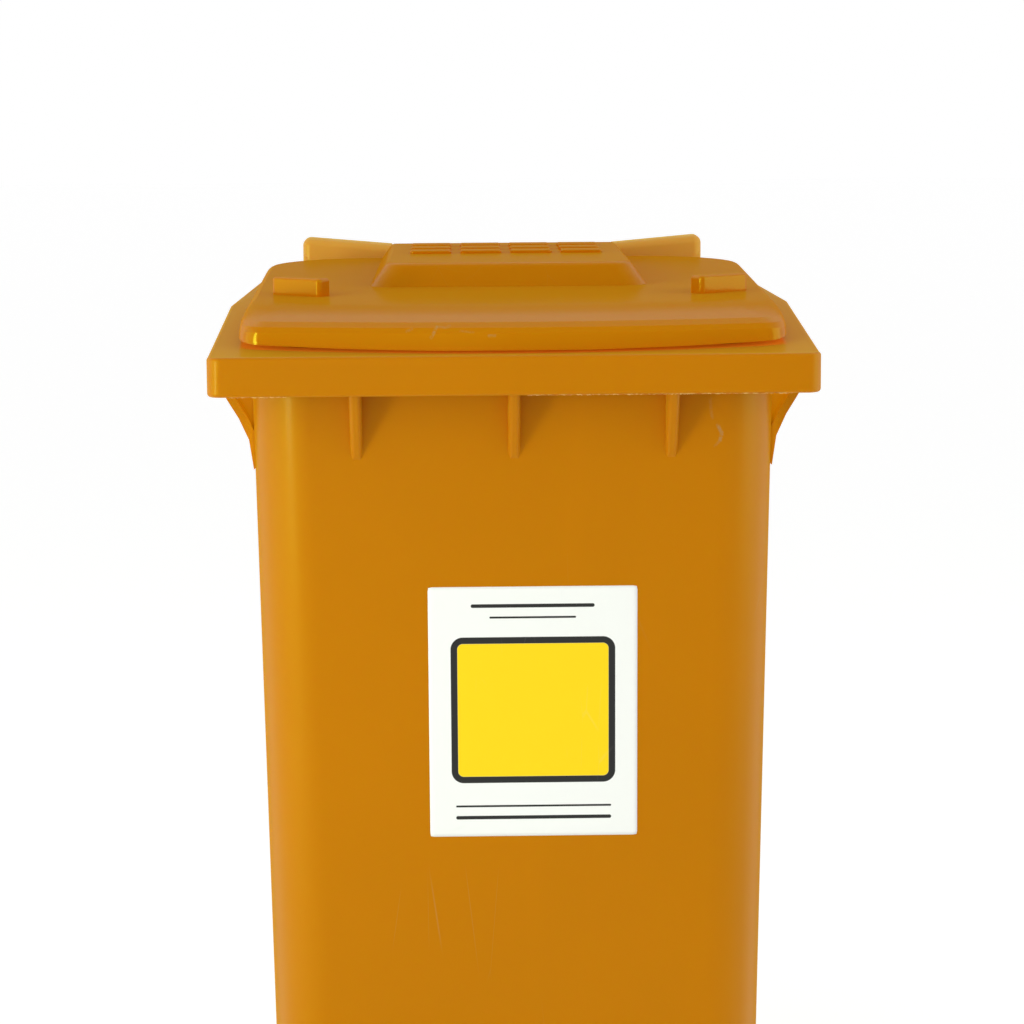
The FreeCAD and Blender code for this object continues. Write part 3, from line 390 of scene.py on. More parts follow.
def moulded_orange(name, settings, strokes, *, front, shine, mirror, dulled, coat, sheen, shade_and_glow_masks):
    """Satin polyethylene: fine grain, slow waves in the wall, faint flow marks, scuffs and dust. In gaps,
    in creases and where the closed lid covers the rim, a deeper, redder colour is painted as shade. In a
    narrow gap under the lid and in the gussets, a painted glow stands in for light that comes through the
    thin walls. The strokes are scratches on the surfaces that lie before the Y of front, and the last
    argument gives two masks: where the painted shade and glow go, and where the gussets get their painted
    glow."""
    paint = Paint(
        name, Roughness=shine, IOR=1.5, Specular_IOR_Level=mirror, Specular_Tint=(1.0, 1.0, 0.05, 1.0),
        Sheen_Weight=sheen, Sheen_Roughness=0.45, Sheen_Tint=(1.0, 0.85, 0.08, 1.0),
        Subsurface_Weight=0.25, Subsurface_Radius=(1.0, 0.30, 0.04), Subsurface_Scale=0.006,
        Coat_Weight=coat, Coat_Roughness=0.16, Emission_Strength=1.0)
    paint.material.cycles.emission_sampling = "NONE"
    colour = tuple(settings.colour)
    z = paint.axes()[2]
    cloud = paint.noise(3.1, 3)
    flow = paint.noise(5.0, 4, 0.6, paint.spot((0, 0, 0), (1.0, 1.0, 0.22)), 0.8)
    speck = paint.noise(620, 2)
    tone = paint.blend(cloud.ramp(0.3, 0.7), shade(colour, 0.975), shade(colour, 1.02))
    tone = paint.blend(flow.ramp(0.52, 0.78) * 0.22, tone, shade(colour, 1.10))
    tone = paint.blend(speck.ramp(0.62, 0.76) * 0.18, tone, shade(colour, 0.84))
    hair = paint.cracks(21, paint.spot((0.11, 0.2, 0.4), (1.0, 1.0, 0.07), (0.5, 0.35, 0.2)))
    hairs = (1 - hair.ramp(0.001, 0.006)) * paint.noise(4.5, 2).ramp(0.60, 0.70) * 0.3
    hairs = hairs.high(scratches(paint, strokes, front))
    tone = paint.blend(hairs * 0.8, tone, (0.46, 0.24, 0.10))
    gap = (1 - paint.openness(GAP_REACH)) * z.ramp(0.06, 0.15)  # none near the floor
    shade_glow_mask, thin = shade_and_glow_masks(paint, gap)
    # Painted shade: a deeper, redder colour under the closed lid, in narrow gaps and faintly in every
    # crease.
    painted_shade = shade_glow_mask * (0.12 + 0.88 * gap.ramp(0.05, 0.45))
    tone = paint.blend(painted_shade.high(gap.ramp(0.15, 0.95) * 0.2), tone, tuple(settings.gap_shade_colour))
    # Painted glow: emitted colour in narrow gaps under the lid and in the gussets, standing in for light
    # that comes through the thin walls.
    glow = paint.blend(shade_glow_mask * gap.ramp(0.35, 0.80), (0, 0, 0), tuple(settings.gap_glow))
    glow = paint.blend(thin, glow, tuple(settings.gusset_glow))
    # Paler grips: hand wear, made paler still by a painted haze of reflected light.
    grip_wear_and_sheen = paint.axes()[1].ramp(GRIPS_FRONT, GRIPS_FRONT + 0.015) * z.ramp(GRIPS_LOW, GRIPS_LOW + 0.008)
    tone = paint.blend(grip_wear_and_sheen * (0.45 + 0.25 * cloud), tone, (0.82, 0.43, 0.09))
    dust = (1 - z.ramp(0.0, 0.26)) * paint.noise(70, 5, 0.75).ramp(0.30, 0.85)
    tone = paint.blend(dust * 0.18, tone, (0.30, 0.22, 0.13))
    gloss = shine + 0.06 * (paint.noise(9.0, 3) - 0.5) + 0.16 * hairs + 0.18 * dust + 0.05 * speck
    wave = paint.bump(paint.noise(5.2, 1, 0.4), settings.wall_wave)
    grain = paint.bump(paint.noise(780, 2) + 0.5 * paint.noise(260, 2), settings.grain, wave)
    worn = paint.bump(1 - hairs, settings.grain * 1.2, grain)
    paint.feed(Base_Color=tone, Roughness=gloss, Emission_Color=glow, Normal=worn)
    return paint.dull_edges(dulled)


def flash_plastic(settings):
    """The torn feather edge that the mould leaves, paler where it is thin."""
    paint = Paint("torn_flash", Roughness=0.5, IOR=1.5)
    colour = tuple(settings.colour)
    thin = paint.noise(240, 3).ramp(0.35, 0.7)
    tone = paint.blend(thin, shade(colour, 1.06), (0.82, 0.50, 0.16))
    return paint.feed(
        Base_Color=tone, Roughness=0.45 + 0.2 * thin, Normal=paint.bump(paint.noise(1500), 0.0001))


def wheel_plastic(settings):
    """Black moulded plastic with a fine grain, road dust in its corners and dull scuffs."""
    paint = Paint("black_moulded", Roughness=0.5, IOR=1.5)
    colour = tuple(settings.plastic)
    grain = paint.noise(950, 2)
    swirl = paint.noise(14, 4, 0.6, twist=0.6)
    dust = swirl.ramp(0.48, 0.74) * paint.noise(130, 3).ramp(0.36, 0.66)
    scrape = paint.cracks(55, paint.spot((0.2, 0.23, 0.1), (1, 0.3, 0.12), (0.7, 0, 0)))
    scrapes = (1 - scrape.ramp(0.004, 0.02)) * paint.noise(17, 2).ramp(0.58, 0.68)
    tone = paint.blend(dust * 0.30, colour, (0.21, 0.18, 0.15))
    tone = paint.blend(scrapes * 0.4, tone, (0.16, 0.16, 0.16))
    gloss = 0.46 + 0.2 * dust + 0.12 * grain + 0.1 * scrapes
    return paint.feed(Base_Color=tone, Roughness=gloss, Normal=paint.bump(grain - scrapes, 0.00006))


def tyre_rubber(settings):
    """Matt solid rubber, greyed by dust on the tread and bloomed in cloudy patches on the sides."""
    paint = Paint("tyre_rubber", Roughness=0.8, IOR=1.5)
    colour = tuple(settings.rubber)
    _, y, z = paint.axes(paint.spot(AXLE_LINE))
    radius = (y * y + z * z) ** 0.5
    tread = radius.ramp(TREAD_FOOT, TREAD_TOP)
    bloom = paint.noise(24, 4, 0.6).ramp(0.4, 0.75)
    dust = tread * paint.noise(85, 4, 0.62).ramp(0.30, 0.62)
    tone = paint.blend(bloom * 0.35, colour, (0.060, 0.058, 0.056))
    tone = paint.blend(dust * 0.55, tone, (0.150, 0.132, 0.112))
    pores = paint.noise(1300, 2)
    return paint.feed(
        Base_Color=tone, Roughness=0.72 + 0.14 * bloom + 0.1 * dust,
        Normal=paint.bump(pores + 0.7 * paint.noise(210, 3), 0.0001))


def zinc_steel(settings):
    """Zinc-plated bar: turned along its length, with pale bloom and a few dull rub marks."""
    paint = Paint("zinc_steel", Metallic=1.0, Roughness=0.3)
    colour = tuple(settings.steel)
    rings = paint.noise(1.0, 3, 0.6, paint.spot(AXLE_LINE, (900, 60, 60)))
    bloom = paint.noise(46, 4, 0.6).ramp(0.45, 0.72)
    tone = paint.blend(bloom * 0.5, colour, (0.47, 0.46, 0.43))
    tone = paint.blend(rings.ramp(0.3, 0.7) * 0.18, tone, shade(colour, 0.8))
    return paint.feed(
        Base_Color=tone, Roughness=0.24 + 0.22 * bloom + 0.12 * rings, Normal=paint.bump(rings, 0.00003))


def rounded_frame(across, up, width, height, corner):
    """How far a point lies outside a rounded rectangle about the origin; less than 0 inside it."""
    dx = (abs(across) - (width / 2 - corner)).high(0.0)
    dz = (abs(up) - (height / 2 - corner)).high(0.0)
    return (dx * dx + dz * dz) ** 0.5 - corner


def printed_vinyl(settings, centre):
    """White vinyl with a bordered panel and blank rules in ink, under a satin film with fine rubs."""
    paint = Paint("printed_vinyl", Roughness=0.4, IOR=1.5, Specular_IOR_Level=0.3)
    across, _, up = paint.axes(paint.spot(centre))
    edge = 0.00025  # half the width over which ink fades out
    wobble = 0.0001 * (paint.noise(900, 1) - 0.5)
    outside = wobble + rounded_frame(
        across, up - PANEL_RISE, settings.panel_width, settings.panel_height, settings.panel_corner)
    inside = outside + settings.border
    in_panel = 1 - outside.ramp(-edge, edge)
    in_field = 1 - inside.ramp(-edge, edge)
    ink = in_panel - in_field
    for height, width, thick in RULES:
        rule = rounded_frame(across, up - height, width, thick, thick * 0.49) + wobble
        ink = ink.high(1 - rule.ramp(-edge, edge))
    dots = paint.noise(1500, 1).ramp(0.30, 0.74)
    paper = paint.blend(paint.noise(11, 3) * 0.5, (0.96, 0.92, 0.99), (0.92, 0.885, 0.94))
    yellow = paint.blend(dots * 0.10, tuple(settings.panel_colour), (0.86, 0.58, 0.0))
    tone = paint.blend(in_field, paper, yellow)
    tone = paint.blend(ink, tone, tuple(settings.ink))
    rub = paint.cracks(34, paint.spot(centre, (1, 1, 0.10), (0, 0.9, 0)))
    rubs = (1 - rub.ramp(0.002, 0.010)) * paint.noise(19, 2).ramp(0.56, 0.66)
    tone = paint.blend(rubs * 0.05, tone, (0.60, 0.58, 0.55))
    ripple = paint.bump(paint.noise(26, 2), 0.0005)
    return paint.feed(
        Base_Color=tone, Roughness=0.36 + 0.1 * ink + 0.2 * rubs,
        Normal=paint.bump(paint.noise(420, 2) - ink, 0.00003, ripple))


# ---------------------------------------------------------------- mesh helpers


def finish_piece(thing, body, material=None, replaces=()):
    """Names what a finished piece rides on, its finish and the nodes that it stands for."""
    if material is not None:
        thing.data.materials.clear()
        thing.data.materials.append(material)
    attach(thing, body)
    if replaces:
        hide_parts(*replaces)


def smoothed_copy(name, node, limit):
    """A CAD node's merged mesh, shaded as one skin wherever its facets turn by less than limit."""
    work = bmesh.new()
    work.from_mesh(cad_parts[node].data)
    bmesh.ops.remove_doubles(work, verts=work.verts, dist=1e-6)
    work.normal_update()
    least = math.cos(limit)
    normals = []
    for face in work.faces:
        face.smooth = True
        for corner in face.loops:
            skin = Vector()
            for other in corner.vert.link_faces:
                if other.normal.dot(face.normal) > least:
                    skin += other.normal * other.calc_area()
            normals.append(skin.normalized())
    mesh = bpy.data.meshes.new(name)
    work.to_mesh(mesh)
    work.free()
    mesh.normals_split_custom_set(normals)
    return new_piece(name, mesh)


def new_piece(name, mesh):
    thing = bpy.data.objects.new(name, mesh)
    bpy.context.scene.collection.objects.link(thing)
    return thing


def dress(node, material):
    """Gives a CAD node's slots a finish."""
    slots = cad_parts[node].material_slots
    if not slots:
        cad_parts[node].data.materials.append(material)
    for slot in slots:
        slot.material = material


def lathe(name, rings, centre, steps):
    """A closed ring turned about a line along X: rings are (along X, radius) pairs of its outline."""
    work = bmesh.new()
    loops = []
    for i in range(steps):
        turn = 2 * math.pi * i / steps
        loops.append([
            work.verts.new(centre + Vector((along, radius * math.cos(turn), radius * math.sin(turn))))
            for along, radius in rings])
    count = len(rings)
    for i in range(steps):
        here, ahead = loops[i], loops[(i + 1) % steps]
        for j in range(count):
            k = (j + 1) % count
            work.faces.new((here[j], here[k], ahead[k], ahead[j]))
    bmesh.ops.recalc_face_normals(work, faces=work.faces)
    mesh = bpy.data.meshes.new(name)
    work.to_mesh(mesh)
    work.free()
    mesh.shade_smooth()
    return mesh


class Garden:
    """A Geometry Nodes tree built by code, with named inputs."""

    def __init__(self, name, inputs):
        self.tree = bpy.data.node_groups.new(name, "GeometryNodeTree")
        self.tree.interface.new_socket("Geometry", in_out="INPUT", socket_type="NodeSocketGeometry")
        for label, kind in inputs:
            self.tree.interface.new_socket(label, in_out="INPUT", socket_type=kind)
        self.tree.interface.new_socket("Geometry", in_out="OUTPUT", socket_type="NodeSocketGeometry")
        self.start = self.tree.nodes.new("NodeGroupInput")
        self.end = self.tree.nodes.new("NodeGroupOutput")

    def add(self, kind, settings, inputs, output=0):
        made = self.tree.nodes.new(kind)
        for key, value in settings.items():
            setattr(made, key, value)
        for key, value in inputs.items():
            if isinstance(value, bpy.types.NodeSocket):
                self.tree.links.new(value, made.inputs[key])
            else:
                made.inputs[key].default_value = value
        return made.outputs[output]

    def given(self, label):
        return self.start.outputs[label]

    def finish(self, geometry, material):
        real = self.add("GeometryNodeRealizeInstances", {}, {"Geometry": geometry})
        painted = self.add("GeometryNodeSetMaterial", {}, {"Geometry": real, "Material": material})
        self.tree.links.new(painted, self.end.inputs[0])

    def grow(self, thing, **values):
        """Runs the tree on an object and keeps its result as a plain mesh."""
        live = thing.modifiers.new(self.tree.name, "NODES")
        live.node_group = self.tree
        sockets = self.tree.interface.items_tree
        names = {item.name: item.identifier for item in sockets if item.in_out == "INPUT"}
        for label, value in values.items():
            live[names[label.replace("_", " ")]] = value
        bpy.context.view_layer.update()
        ready = thing.evaluated_get(bpy.context.evaluated_depsgraph_get())
        mesh = bpy.data.meshes.new_from_object(ready)
        thing.modifiers.clear()
        old, thing.data = thing.data, mesh
        bpy.data.meshes.remove(old)


# ---------------------------------------------------------------- pieces


def lug_mesh(name, length, width, height):
    """One tread lug with bevelled shoulders: its foot is at the origin and it rises along Z."""
    work = bmesh.new()
    turns = ((-1, -1), (1, -1), (1, 1), (-1, 1))
    low = [work.verts.new((x * width * 0.5, y * length * 0.5, 0)) for x, y in turns]
    high = [work.verts.new((x * width * 0.44, y * length * 0.36, height)) for x, y in turns]
    work.faces.new(reversed(low))
    work.faces.new(high)
    for i in range(4):
        k = (i + 1) % 4
        work.faces.new((low[i], low[k], high[k], high[i]))
    mesh = bpy.data.meshes.new(name)
    work.to_mesh(mesh)
    work.free()
    return mesh


def tread_garden(material, lug):
    """Lugs set round a wheel in rows, each row turned by half a step from the last."""
    g = Garden("tread_rows", [
        ("Lugs", "NodeSocketInt"), ("Radius", "NodeSocketFloat"), ("Row Gap", "NodeSocketFloat"),
        ("Centre", "NodeSocketVector")])
    circle = g.add(
        "GeometryNodeMeshCircle", {}, {"Vertices": g.given("Lugs"), "Radius": g.given("Radius")})
    quarter = math.pi / 2
    upright = g.add("GeometryNodeTransform", {}, {"Geometry": circle, "Rotation": (quarter, 0, quarter)})
    place = g.add("GeometryNodeInputPosition", {}, {})
    aim = g.add("FunctionNodeAlignEulerToVector", {"axis": "Z"}, {"Vector": place})
    aim = g.add(
        "FunctionNodeAlignEulerToVector", {"axis": "X", "pivot_axis": "Z"},
        {"Rotation": aim, "Vector": (1, 0, 0)})
    block = g.add("GeometryNodeObjectInfo", {}, {"Object": lug}, "Geometry")
    row = g.add("GeometryNodeInstanceOnPoints", {}, {"Points": upright, "Instance": block, "Rotation": aim})
    step = g.add("ShaderNodeMath", {"operation": "DIVIDE"}, {0: math.pi, 1: g.given("Lugs")})
    rows = []
    for side in (-1, 0, 1):
        shift = g.add("ShaderNodeMath", {"operation": "MULTIPLY"}, {0: g.given("Row Gap"), 1: float(side)})
        slide = g.add("ShaderNodeCombineXYZ", {}, {"X": shift})
        turn = g.add("ShaderNodeMath", {"operation": "MULTIPLY"}, {0: step, 1: float(abs(side))})
        spin = g.add("ShaderNodeCombineXYZ", {}, {"X": turn})
        rows.append(g.add(
            "GeometryNodeTransform", {}, {"Geometry": row, "Translation": slide, "Rotation": spin}))
    joined = g.tree.nodes.new("GeometryNodeJoinGeometry")
    for part in rows:
        g.tree.links.new(part, joined.inputs[0])
    placed = g.add(
        "GeometryNodeTransform", {}, {"Geometry": joined.outputs[0], "Translation": g.given("Centre")})
    g.finish(placed, material)
    return g


def join(first, *others):
    """Adds the other objects' meshes to the first, and removes them."""
    work = bmesh.new()
    for thing in (first, *others):
        work.from_mesh(thing.data)
    work.to_mesh(first.data)
    work.free()
    for thing in others:
        bpy.data.objects.remove(thing)
    return first


def flash_garden(material):
    """A thin torn edge along a straight line, its height and line uneven."""
    g = Garden("flash_line", [
        ("Start", "NodeSocketVector"), ("End", "NodeSocketVector"), ("Points", "NodeSocketInt"),
        ("Height", "NodeSocketFloat"), ("Seed", "NodeSocketInt")])
    line = g.add("GeometryNodeCurvePrimitiveLine", {}, {"Start": g.given("Start"), "End": g.given("End")})
    fine = g.add("GeometryNodeResampleCurve", {}, {"Curve": line, "Count": g.given("Points")})
    low = g.add("ShaderNodeMath", {"operation": "MULTIPLY"}, {0: g.given("Height"), 1: -0.5})
    down = g.add("ShaderNodeCombineXYZ", {}, {"Z": low})
    drift = g.add(
        "FunctionNodeRandomValue", {"data_type": "FLOAT_VECTOR"},
        {"Min": down, "Max": (0, 0, 0), "Seed": g.given("Seed")})
    ragged = g.add("GeometryNodeSetPosition", {}, {"Geometry": fine, "Offset": drift})
    thick = g.add("ShaderNodeMath", {"operation": "MULTIPLY"}, {0: g.given("Height"), 1: 0.5})
    seed = g.add("ShaderNodeMath", {"operation": "ADD"}, {0: g.given("Seed"), 1: 1.0})
    size = g.add(
        "FunctionNodeRandomValue", {"data_type": "FLOAT"}, {2: FLASH_LEAST, 3: thick, "Seed": seed}, 1)
    profile = g.add("GeometryNodeCurvePrimitiveCircle", {}, {"Resolution": 6, "Radius": 1.0})
    tube = g.add(
        "GeometryNodeCurveToMesh", {},
        {"Curve": ragged, "Profile Curve": profile, "Scale": size, "Fill Caps": True})
    g.finish(tube, material)
    return g


class WASTEBIN_OT_tub(bpy.types.Operator):
    """Finishes the moulded tub and adds the thin flash under its lip"""
    bl_idname = "waste_bin.tub"
    bl_label = "Tub"

    def execute(self, context):
        settings = context.scene.bin_plastic
        finish = moulded_orange(
            "tub_orange", settings, TUB_SCRATCHES, front=-0.29, shine=0.36, mirror=0.4, dulled=0.90,
            coat=0.06, sheen=0.30, shade_and_glow_masks=under_lid)
        shell = smoothed_copy("tub_shell", "bin_body", FACET_LIMIT)
        finish_piece(shell, "tub", finish, ["bin_body"])
        torn = flash_plastic(settings)
        low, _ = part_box("bin_body")
        y, z = low.y + 0.0016, LIP_LOW + 0.0006  # inside the lip's rounded lower edge
        for name, start, end, seed in FLASHES:
            flash = new_piece(name, bpy.data.meshes.new(name))
            flash_garden(torn).grow(
                flash, Start=(start, y, z), End=(end, y, z), Points=int((end - start) / FLASH_STEP),
                Height=settings.flash_height, Seed=seed)
            finish_piece(flash, "tub")
        return {"FINISHED"}


class WASTEBIN_OT_lid(bpy.types.Operator):
    """Finishes the moulded lid and the two pins that it turns on"""
    bl_idname = "waste_bin.lid"
    bl_label = "Lid and hinge pins"

    def execute(self, context):
        settings = context.scene.bin_plastic
        finish = moulded_orange(
            "lid_orange", settings, LID_SCRATCHES, front=-0.28, shine=0.12, mirror=0.45, dulled=0.95,
            coat=0.0, sheen=0.12, shade_and_glow_masks=in_gap)
        shell = smoothed_copy("lid_shell", "lid", FACET_LIMIT)
        finish_piece(shell, "lid", finish, ["lid"])
        for side, _ in SIDES:
            dress(f"hinge_pin_{side}", finish)
        return {"FINISHED"}


class WASTEBIN_OT_label(bpy.types.Operator):
    """Lays the printed vinyl sheet on the front wall"""
    bl_idname = "waste_bin.label"
    bl_label = "Label"

    def execute(self, context):
        settings = context.scene.bin_label
        low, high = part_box("label")
        centre = (low + high) / 2
        half_x, half_z = (high.x - low.x) / 2, (high.z - low.z) / 2
        front_low, front_high = high.y - SHEET_THICK, low.y
        columns, rows = 48, 60
        work = bmesh.new()
        grid = []
        for j in range(rows + 1):
            line = []
            for i in range(columns + 1):
                u, v = 2 * i / columns - 1, 2 * j / rows - 1
                x, z = u * half_x, v * half_z
                dx = abs(x) - (half_x - settings.corner)
                dz = abs(z) - (half_z - settings.corner)
                if dx > 0 and dz > 0:
                    pull = settings.corner / max(math.hypot(dx, dz), settings.corner)
                    x = math.copysign(half_x - settings.corner + dx * pull, x)
                    z = math.copysign(half_z - settings.corner + dz * pull, z)
                y = front_low + (front_high - front_low) * (z + half_z) / (2 * half_z)
                ripple = 1 + math.sin(7 * u + 2.1 * v) * math.sin(5.3 * v - u)
                line.append(work.verts.new((centre.x + x, y + SHEET_RIPPLE * ripple, centre.z + z)))
            grid.append(line)
        for j in range(rows):
            for i in range(columns):
                work.faces.new((grid[j][i], grid[j][i + 1], grid[j + 1][i + 1], grid[j + 1][i]))
        mesh = bpy.data.meshes.new("label_sheet")
        work.to_mesh(mesh)
        work.free()
        mesh.shade_smooth()
        sheet = new_piece("label_sheet", mesh)
        wall = sheet.modifiers.new("thickness", "SOLIDIFY")
        wall.thickness = PRINT_THICK
        wall.offset = -1
        finish_piece(sheet, "tub", printed_vinyl(settings, tuple(centre)), ["label"])
        return {"FINISHED"}


def tyre_outline(half, bore, base):
    """A tyre's section from its bore to the foot of its tread, with a moulded line on each side."""
    side = [
        (0.002, bore), (0, bore + 0.004), (0, bore + 0.007), (0.0008, bore + 0.008),
        (0, bore + 0.009), (0, base - 0.007), (0.0015, base - 0.0028), (0.005, base)]
    return [(inset - half, at) for inset, at in side] + [(half - inset, at) for inset, at in reversed(side)]


class WASTEBIN_OT_tyres(bpy.types.Operator):
    """Makes the two solid tyres, each with three rows of tread lugs"""
    bl_idname = "waste_bin.tyres"
    bl_label = "Tyres"

    def execute(self, context):
        settings = context.scene.bin_wheels
        rubber = tyre_rubber(settings)
        for side, _ in SIDES:
            low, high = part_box(f"tyre_{side}")
            centre = (low + high) / 2
            radius, half = (high.z - low.z) / 2, (high.x - low.x) / 2
            base = radius - settings.lug_height
            outline = tyre_outline(half, radius - TYRE_DEPTH, base)
            ring = lathe(f"tyre_{side}_rubber", outline, centre, steps=144)
            carcass = new_piece(f"tyre_{side}_rubber", ring)
            pitch = 2 * math.pi * radius / settings.lugs
            lug = lug_mesh("lug_stamp", pitch * LUG_SHARE, LUG_WIDTH, settings.lug_height + LUG_ROOT)
            stamp = new_piece("lug_stamp", lug)
            seat = new_piece(f"tread_{side}", bpy.data.meshes.new(f"tread_{side}"))
            tread_garden(rubber, stamp).grow(
                seat, Lugs=settings.lugs, Radius=base - LUG_ROOT, Row_Gap=ROW_GAP, Centre=tuple(centre))
            bpy.data.objects.remove(stamp)
            tyre = join(carcass, seat)
            finish_piece(tyre, f"wheel_{side}", rubber, [f"tyre_{side}"])
        return {"FINISHED"}


def spoke_rib_mesh(name, start, end, width, height):
    """A rib that lies along Y, rises along X and tapers to its rounded crest."""
    work = bmesh.new()
    section = [(0, -0.5), (0.55, -0.46), (0.9, -0.3), (1.0, 0), (0.9, 0.3), (0.55, 0.46), (0, 0.5)]
    rings = [[work.verts.new((x * height * grow, y, z * width)) for x, z in section]
             for y, grow in ((start, 0.55), (start + 0.002, 1.0), (end - 0.004, 1.0), (end, 0.7))]
    for ring, ahead in zip(rings, rings[1:]):
        for i in range(len(section) - 1):
            work.faces.new((ring[i], ahead[i], ahead[i + 1], ring[i + 1]))
        work.faces.new((ring[-1], ahead[-1], ahead[0], ring[0]))
    work.faces.new(rings[0])
    work.faces.new(list(reversed(rings[-1])))
    bmesh.ops.recalc_face_normals(work, faces=work.faces)
    mesh = bpy.data.meshes.new(name)
    work.to_mesh(mesh)
    work.free()
    return mesh


def spoke_garden(material, rib):
    """Ribs laid round a wheel's face, one along each spoke."""
    g = Garden("spoke_ribs", [
        ("Ribs", "NodeSocketInt"), ("First Turn", "NodeSocketFloat"), ("Centre", "NodeSocketVector")])
    dots = g.add("GeometryNodePoints", {}, {"Count": g.given("Ribs")})
    number = g.add("GeometryNodeInputIndex", {}, {})
    step = g.add("ShaderNodeMath", {"operation": "DIVIDE"}, {0: 2 * math.pi, 1: g.given("Ribs")})
    turned = g.add(
        "ShaderNodeMath", {"operation": "MULTIPLY_ADD"}, {0: number, 1: step, 2: g.given("First Turn")})
    spin = g.add("ShaderNodeCombineXYZ", {}, {"X": turned})
    shape = g.add("GeometryNodeObjectInfo", {}, {"Object": rib}, "Geometry")
    laid = g.add(
        "GeometryNodeInstanceOnPoints", {}, {"Points": dots, "Instance": shape, "Rotation": spin})
    placed = g.add("GeometryNodeTransform", {}, {"Geometry": laid, "Translation": g.given("Centre")})
    g.finish(placed, material)
    return g


class WASTEBIN_OT_wheels(bpy.types.Operator):
    """Finishes the wheel discs, their caps and the latches that hold them on the axle"""
    bl_idname = "waste_bin.wheels"
    bl_label = "Wheels"

    def execute(self, context):
        finish = wheel_plastic(context.scene.bin_wheels)
        for side, sign in SIDES:
            for node in ("wheel_rim", "hub_cap", "latch_plug", "latch_plunger", "axle_washer"):
                dress(f"{node}_{side}", finish)
            low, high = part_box(f"wheel_rim_{side}")
            stop = (high.z - low.z) / 2 - RIB_STOP
            for outer, name in ((1, f"spoke_ribs_{side}"), (-1, f"inner_ribs_{side}")):
                shape = spoke_rib_mesh("rib_stamp", RIB_START, stop, RIB_WIDTH, RIB_HEIGHT * sign * outer)
                rib = new_piece("rib_stamp", shape)
                seat = new_piece(name, bpy.data.meshes.new(name))
                across = sign * (WHEEL_MIDDLE + RIB_FOOT * outer)
                place = (across, (low.y + high.y) / 2, (low.z + high.z) / 2)
                spoke_garden(finish, rib).grow(seat, Ribs=SPOKES, First_Turn=math.pi / SPOKES, Centre=place)
                bpy.data.objects.remove(rib)
                finish_piece(seat, f"wheel_{side}")
        return {"FINISHED"}


class WASTEBIN_OT_steelwork(bpy.types.Operator):
    """Finishes the axle and the latch springs"""
    bl_idname = "waste_bin.steelwork"
    bl_label = "Axle and springs"

    def execute(self, context):
        finish = zinc_steel(context.scene.bin_wheels)
        dress("axle", finish)
        for side, _ in SIDES:
            spring = f"latch_spring_{side}"
            dress(spring, finish)
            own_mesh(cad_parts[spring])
        return {"FINISHED"}


def lamp(name, place, aim, size, power, colour=(1.0, 1.0, 1.0)):
    light = bpy.data.lights.new(name, "AREA")
    light.color = colour
    light.shape = "RECTANGLE"
    light.size, light.size_y = size
    light.energy = power
    thing = bpy.data.objects.new(name, light)
    bpy.context.scene.collection.objects.link(thing)
    thing.location = place
    thing.rotation_euler = (Vector(aim) - Vector(place)).to_track_quat("-Z", "Y").to_euler()


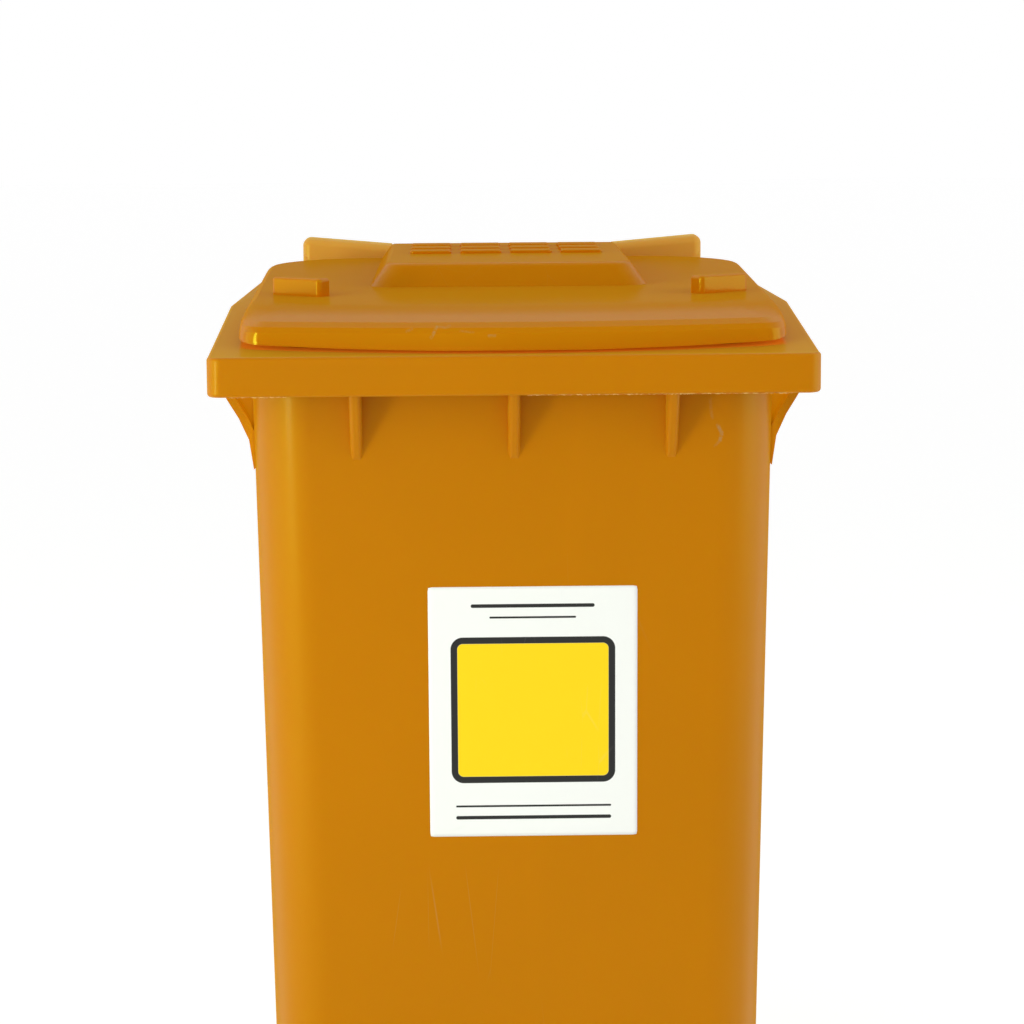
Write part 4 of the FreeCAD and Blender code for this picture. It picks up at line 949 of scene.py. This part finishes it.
class WASTEBIN_OT_stage(bpy.types.Operator):
    """Sets the pale floor, the soft lights and the camera"""
    bl_idname = "waste_bin.stage"
    bl_label = "Studio"

    def execute(self, context):
        settings = context.scene.bin_stage
        scene = context.scene
        scene.view_settings.view_transform = "Standard"
        self.floor(settings)
        self.room(scene, settings)
        side = settings.side_light
        lamp(
            "key_lamp", place=(-0.9, -3.3, 0.9), aim=(0, 0, 0.75), size=(1.6, 1.6),
            power=settings.key_light)
        lamp(
            "left_lamp", place=(-2.2, -1.2, 1.2), aim=(-0.25, 0, 0.75), size=(2.4, 2.0),
            power=side * 0.9, colour=(0.72, 1.0, 0.45))
        lamp(
            "right_lamp", place=(2.4, -0.8, 1.3), aim=(0.25, 0, 0.75), size=(1.6, 2.0),
            power=side * 0.85, colour=(0.85, 1.0, 0.75))
        lamp(
            "window_lamp", place=(-1.9, -1.9, 0.9), aim=(-0.24, -0.3, 0.9), size=(0.4, 0.9),
            power=side * 0.8, colour=(0.88, 1.0, 0.80))
        self.camera(scene, settings)
        return {"FINISHED"}

    def seen_or_mirrored(self, tree):
        """1 for rays that the camera, a gloss or a clear material sends, 0 for the rest."""
        path = tree.nodes.new("ShaderNodeLightPath")
        total = path.outputs["Is Camera Ray"]
        for name in ("Is Glossy Ray", "Is Transmission Ray"):
            either = tree.nodes.new("ShaderNodeMath")
            either.operation = "MAXIMUM"
            tree.links.new(total, either.inputs[0])
            tree.links.new(path.outputs[name], either.inputs[1])
            total = either.outputs[0]
        return total

    def floor(self, settings):
        bpy.ops.mesh.primitive_plane_add(size=60)
        plane = bpy.context.object
        plane.name = "studio_floor"
        material = bpy.data.materials.new("studio_floor")
        material.use_nodes = True
        tree = material.node_tree
        shader = tree.nodes["Principled BSDF"]
        shader.inputs["Base Color"].default_value = (*settings.floor, 1)
        shader.inputs["Roughness"].default_value = 1
        shader.inputs["Emission Color"].default_value = (1, 1, 1, 1)
        lift = tree.nodes.new("ShaderNodeMath")
        lift.operation = "MULTIPLY"
        lift.inputs[1].default_value = FLOOR_LIFT
        tree.links.new(self.seen_or_mirrored(tree), lift.inputs[0])
        tree.links.new(lift.outputs[0], shader.inputs["Emission Strength"])
        plane.data.materials.append(material)

    def room(self, scene, settings):
        world = bpy.data.worlds.new("studio_room")
        scene.world = world
        world.use_nodes = True
        tree = world.node_tree
        sky = tree.nodes["Background"]
        sky.inputs["Color"].default_value = (1, 1, 1, 1)
        level = tree.nodes.new("ShaderNodeMapRange")
        level.inputs["To Min"].default_value = settings.room_light
        level.inputs["To Max"].default_value = 1.0
        tree.links.new(self.seen_or_mirrored(tree), level.inputs["Value"])
        tree.links.new(level.outputs[0], sky.inputs["Strength"])

    def camera(self, scene, settings):
        reach = math.cos(CAMERA_TILT)
        ahead = Vector((
            math.sin(CAMERA_TURN) * reach, math.cos(CAMERA_TURN) * reach, -math.sin(CAMERA_TILT)))
        level = ahead.cross(Vector((0, 0, 1))).normalized()
        upward = level.cross(ahead)
        right = math.cos(CAMERA_ROLL) * level - math.sin(CAMERA_ROLL) * upward
        up = math.sin(CAMERA_ROLL) * level + math.cos(CAMERA_ROLL) * upward
        lens = bpy.data.cameras.new("front_camera")
        lens.lens = settings.lens
        lens.sensor_width = 36
        lens.clip_end = 200
        view = bpy.data.objects.new("front_camera", lens)
        scene.collection.objects.link(view)
        turned = Matrix((right, up, -ahead)).transposed().to_4x4()
        view.matrix_world = Matrix.Translation(CAMERA_PLACE) @ turned
        scene.camera = view


# ---------------------------------------------------------------- add-on


MAKERS = (
    WASTEBIN_OT_tub, WASTEBIN_OT_lid, WASTEBIN_OT_label, WASTEBIN_OT_tyres, WASTEBIN_OT_wheels,
    WASTEBIN_OT_steelwork, WASTEBIN_OT_stage)
SETTINGS = (
    ("bin_plastic", PlasticSettings), ("bin_label", LabelSettings), ("bin_wheels", WheelSettings),
    ("bin_stage", StageSettings))


class WASTEBIN_PT_panel(bpy.types.Panel):
    """Lists the bin's sizes and colours, and the steps that make its pieces"""
    bl_idname = "WASTEBIN_PT_panel"
    bl_label = "Waste Bin"
    bl_space_type = "VIEW_3D"
    bl_region_type = "UI"
    bl_category = "Waste Bin"

    def draw(self, context):
        for name, kind in SETTINGS:
            box = self.layout.box()
            for key in kind.__annotations__:
                box.prop(getattr(context.scene, name), key)
        for maker in MAKERS:
            self.layout.operator(maker.bl_idname)


CLASSES = tuple(kind for _, kind in SETTINGS) + MAKERS + (WASTEBIN_PT_panel,)


def register():
    for kind in CLASSES:
        bpy.utils.register_class(kind)
    for name, kind in SETTINGS:
        setattr(bpy.types.Scene, name, bpy.props.PointerProperty(type=kind))


def unregister():
    for name, _ in SETTINGS:
        delattr(bpy.types.Scene, name)
    for kind in reversed(CLASSES):
        bpy.utils.unregister_class(kind)


def main():
    register()
    bpy.ops.waste_bin.tub()
    bpy.ops.waste_bin.lid()
    bpy.ops.waste_bin.label()
    bpy.ops.waste_bin.tyres()
    bpy.ops.waste_bin.wheels()
    bpy.ops.waste_bin.steelwork()
    bpy.ops.waste_bin.stage()


if __name__ == "__main__":
    main()
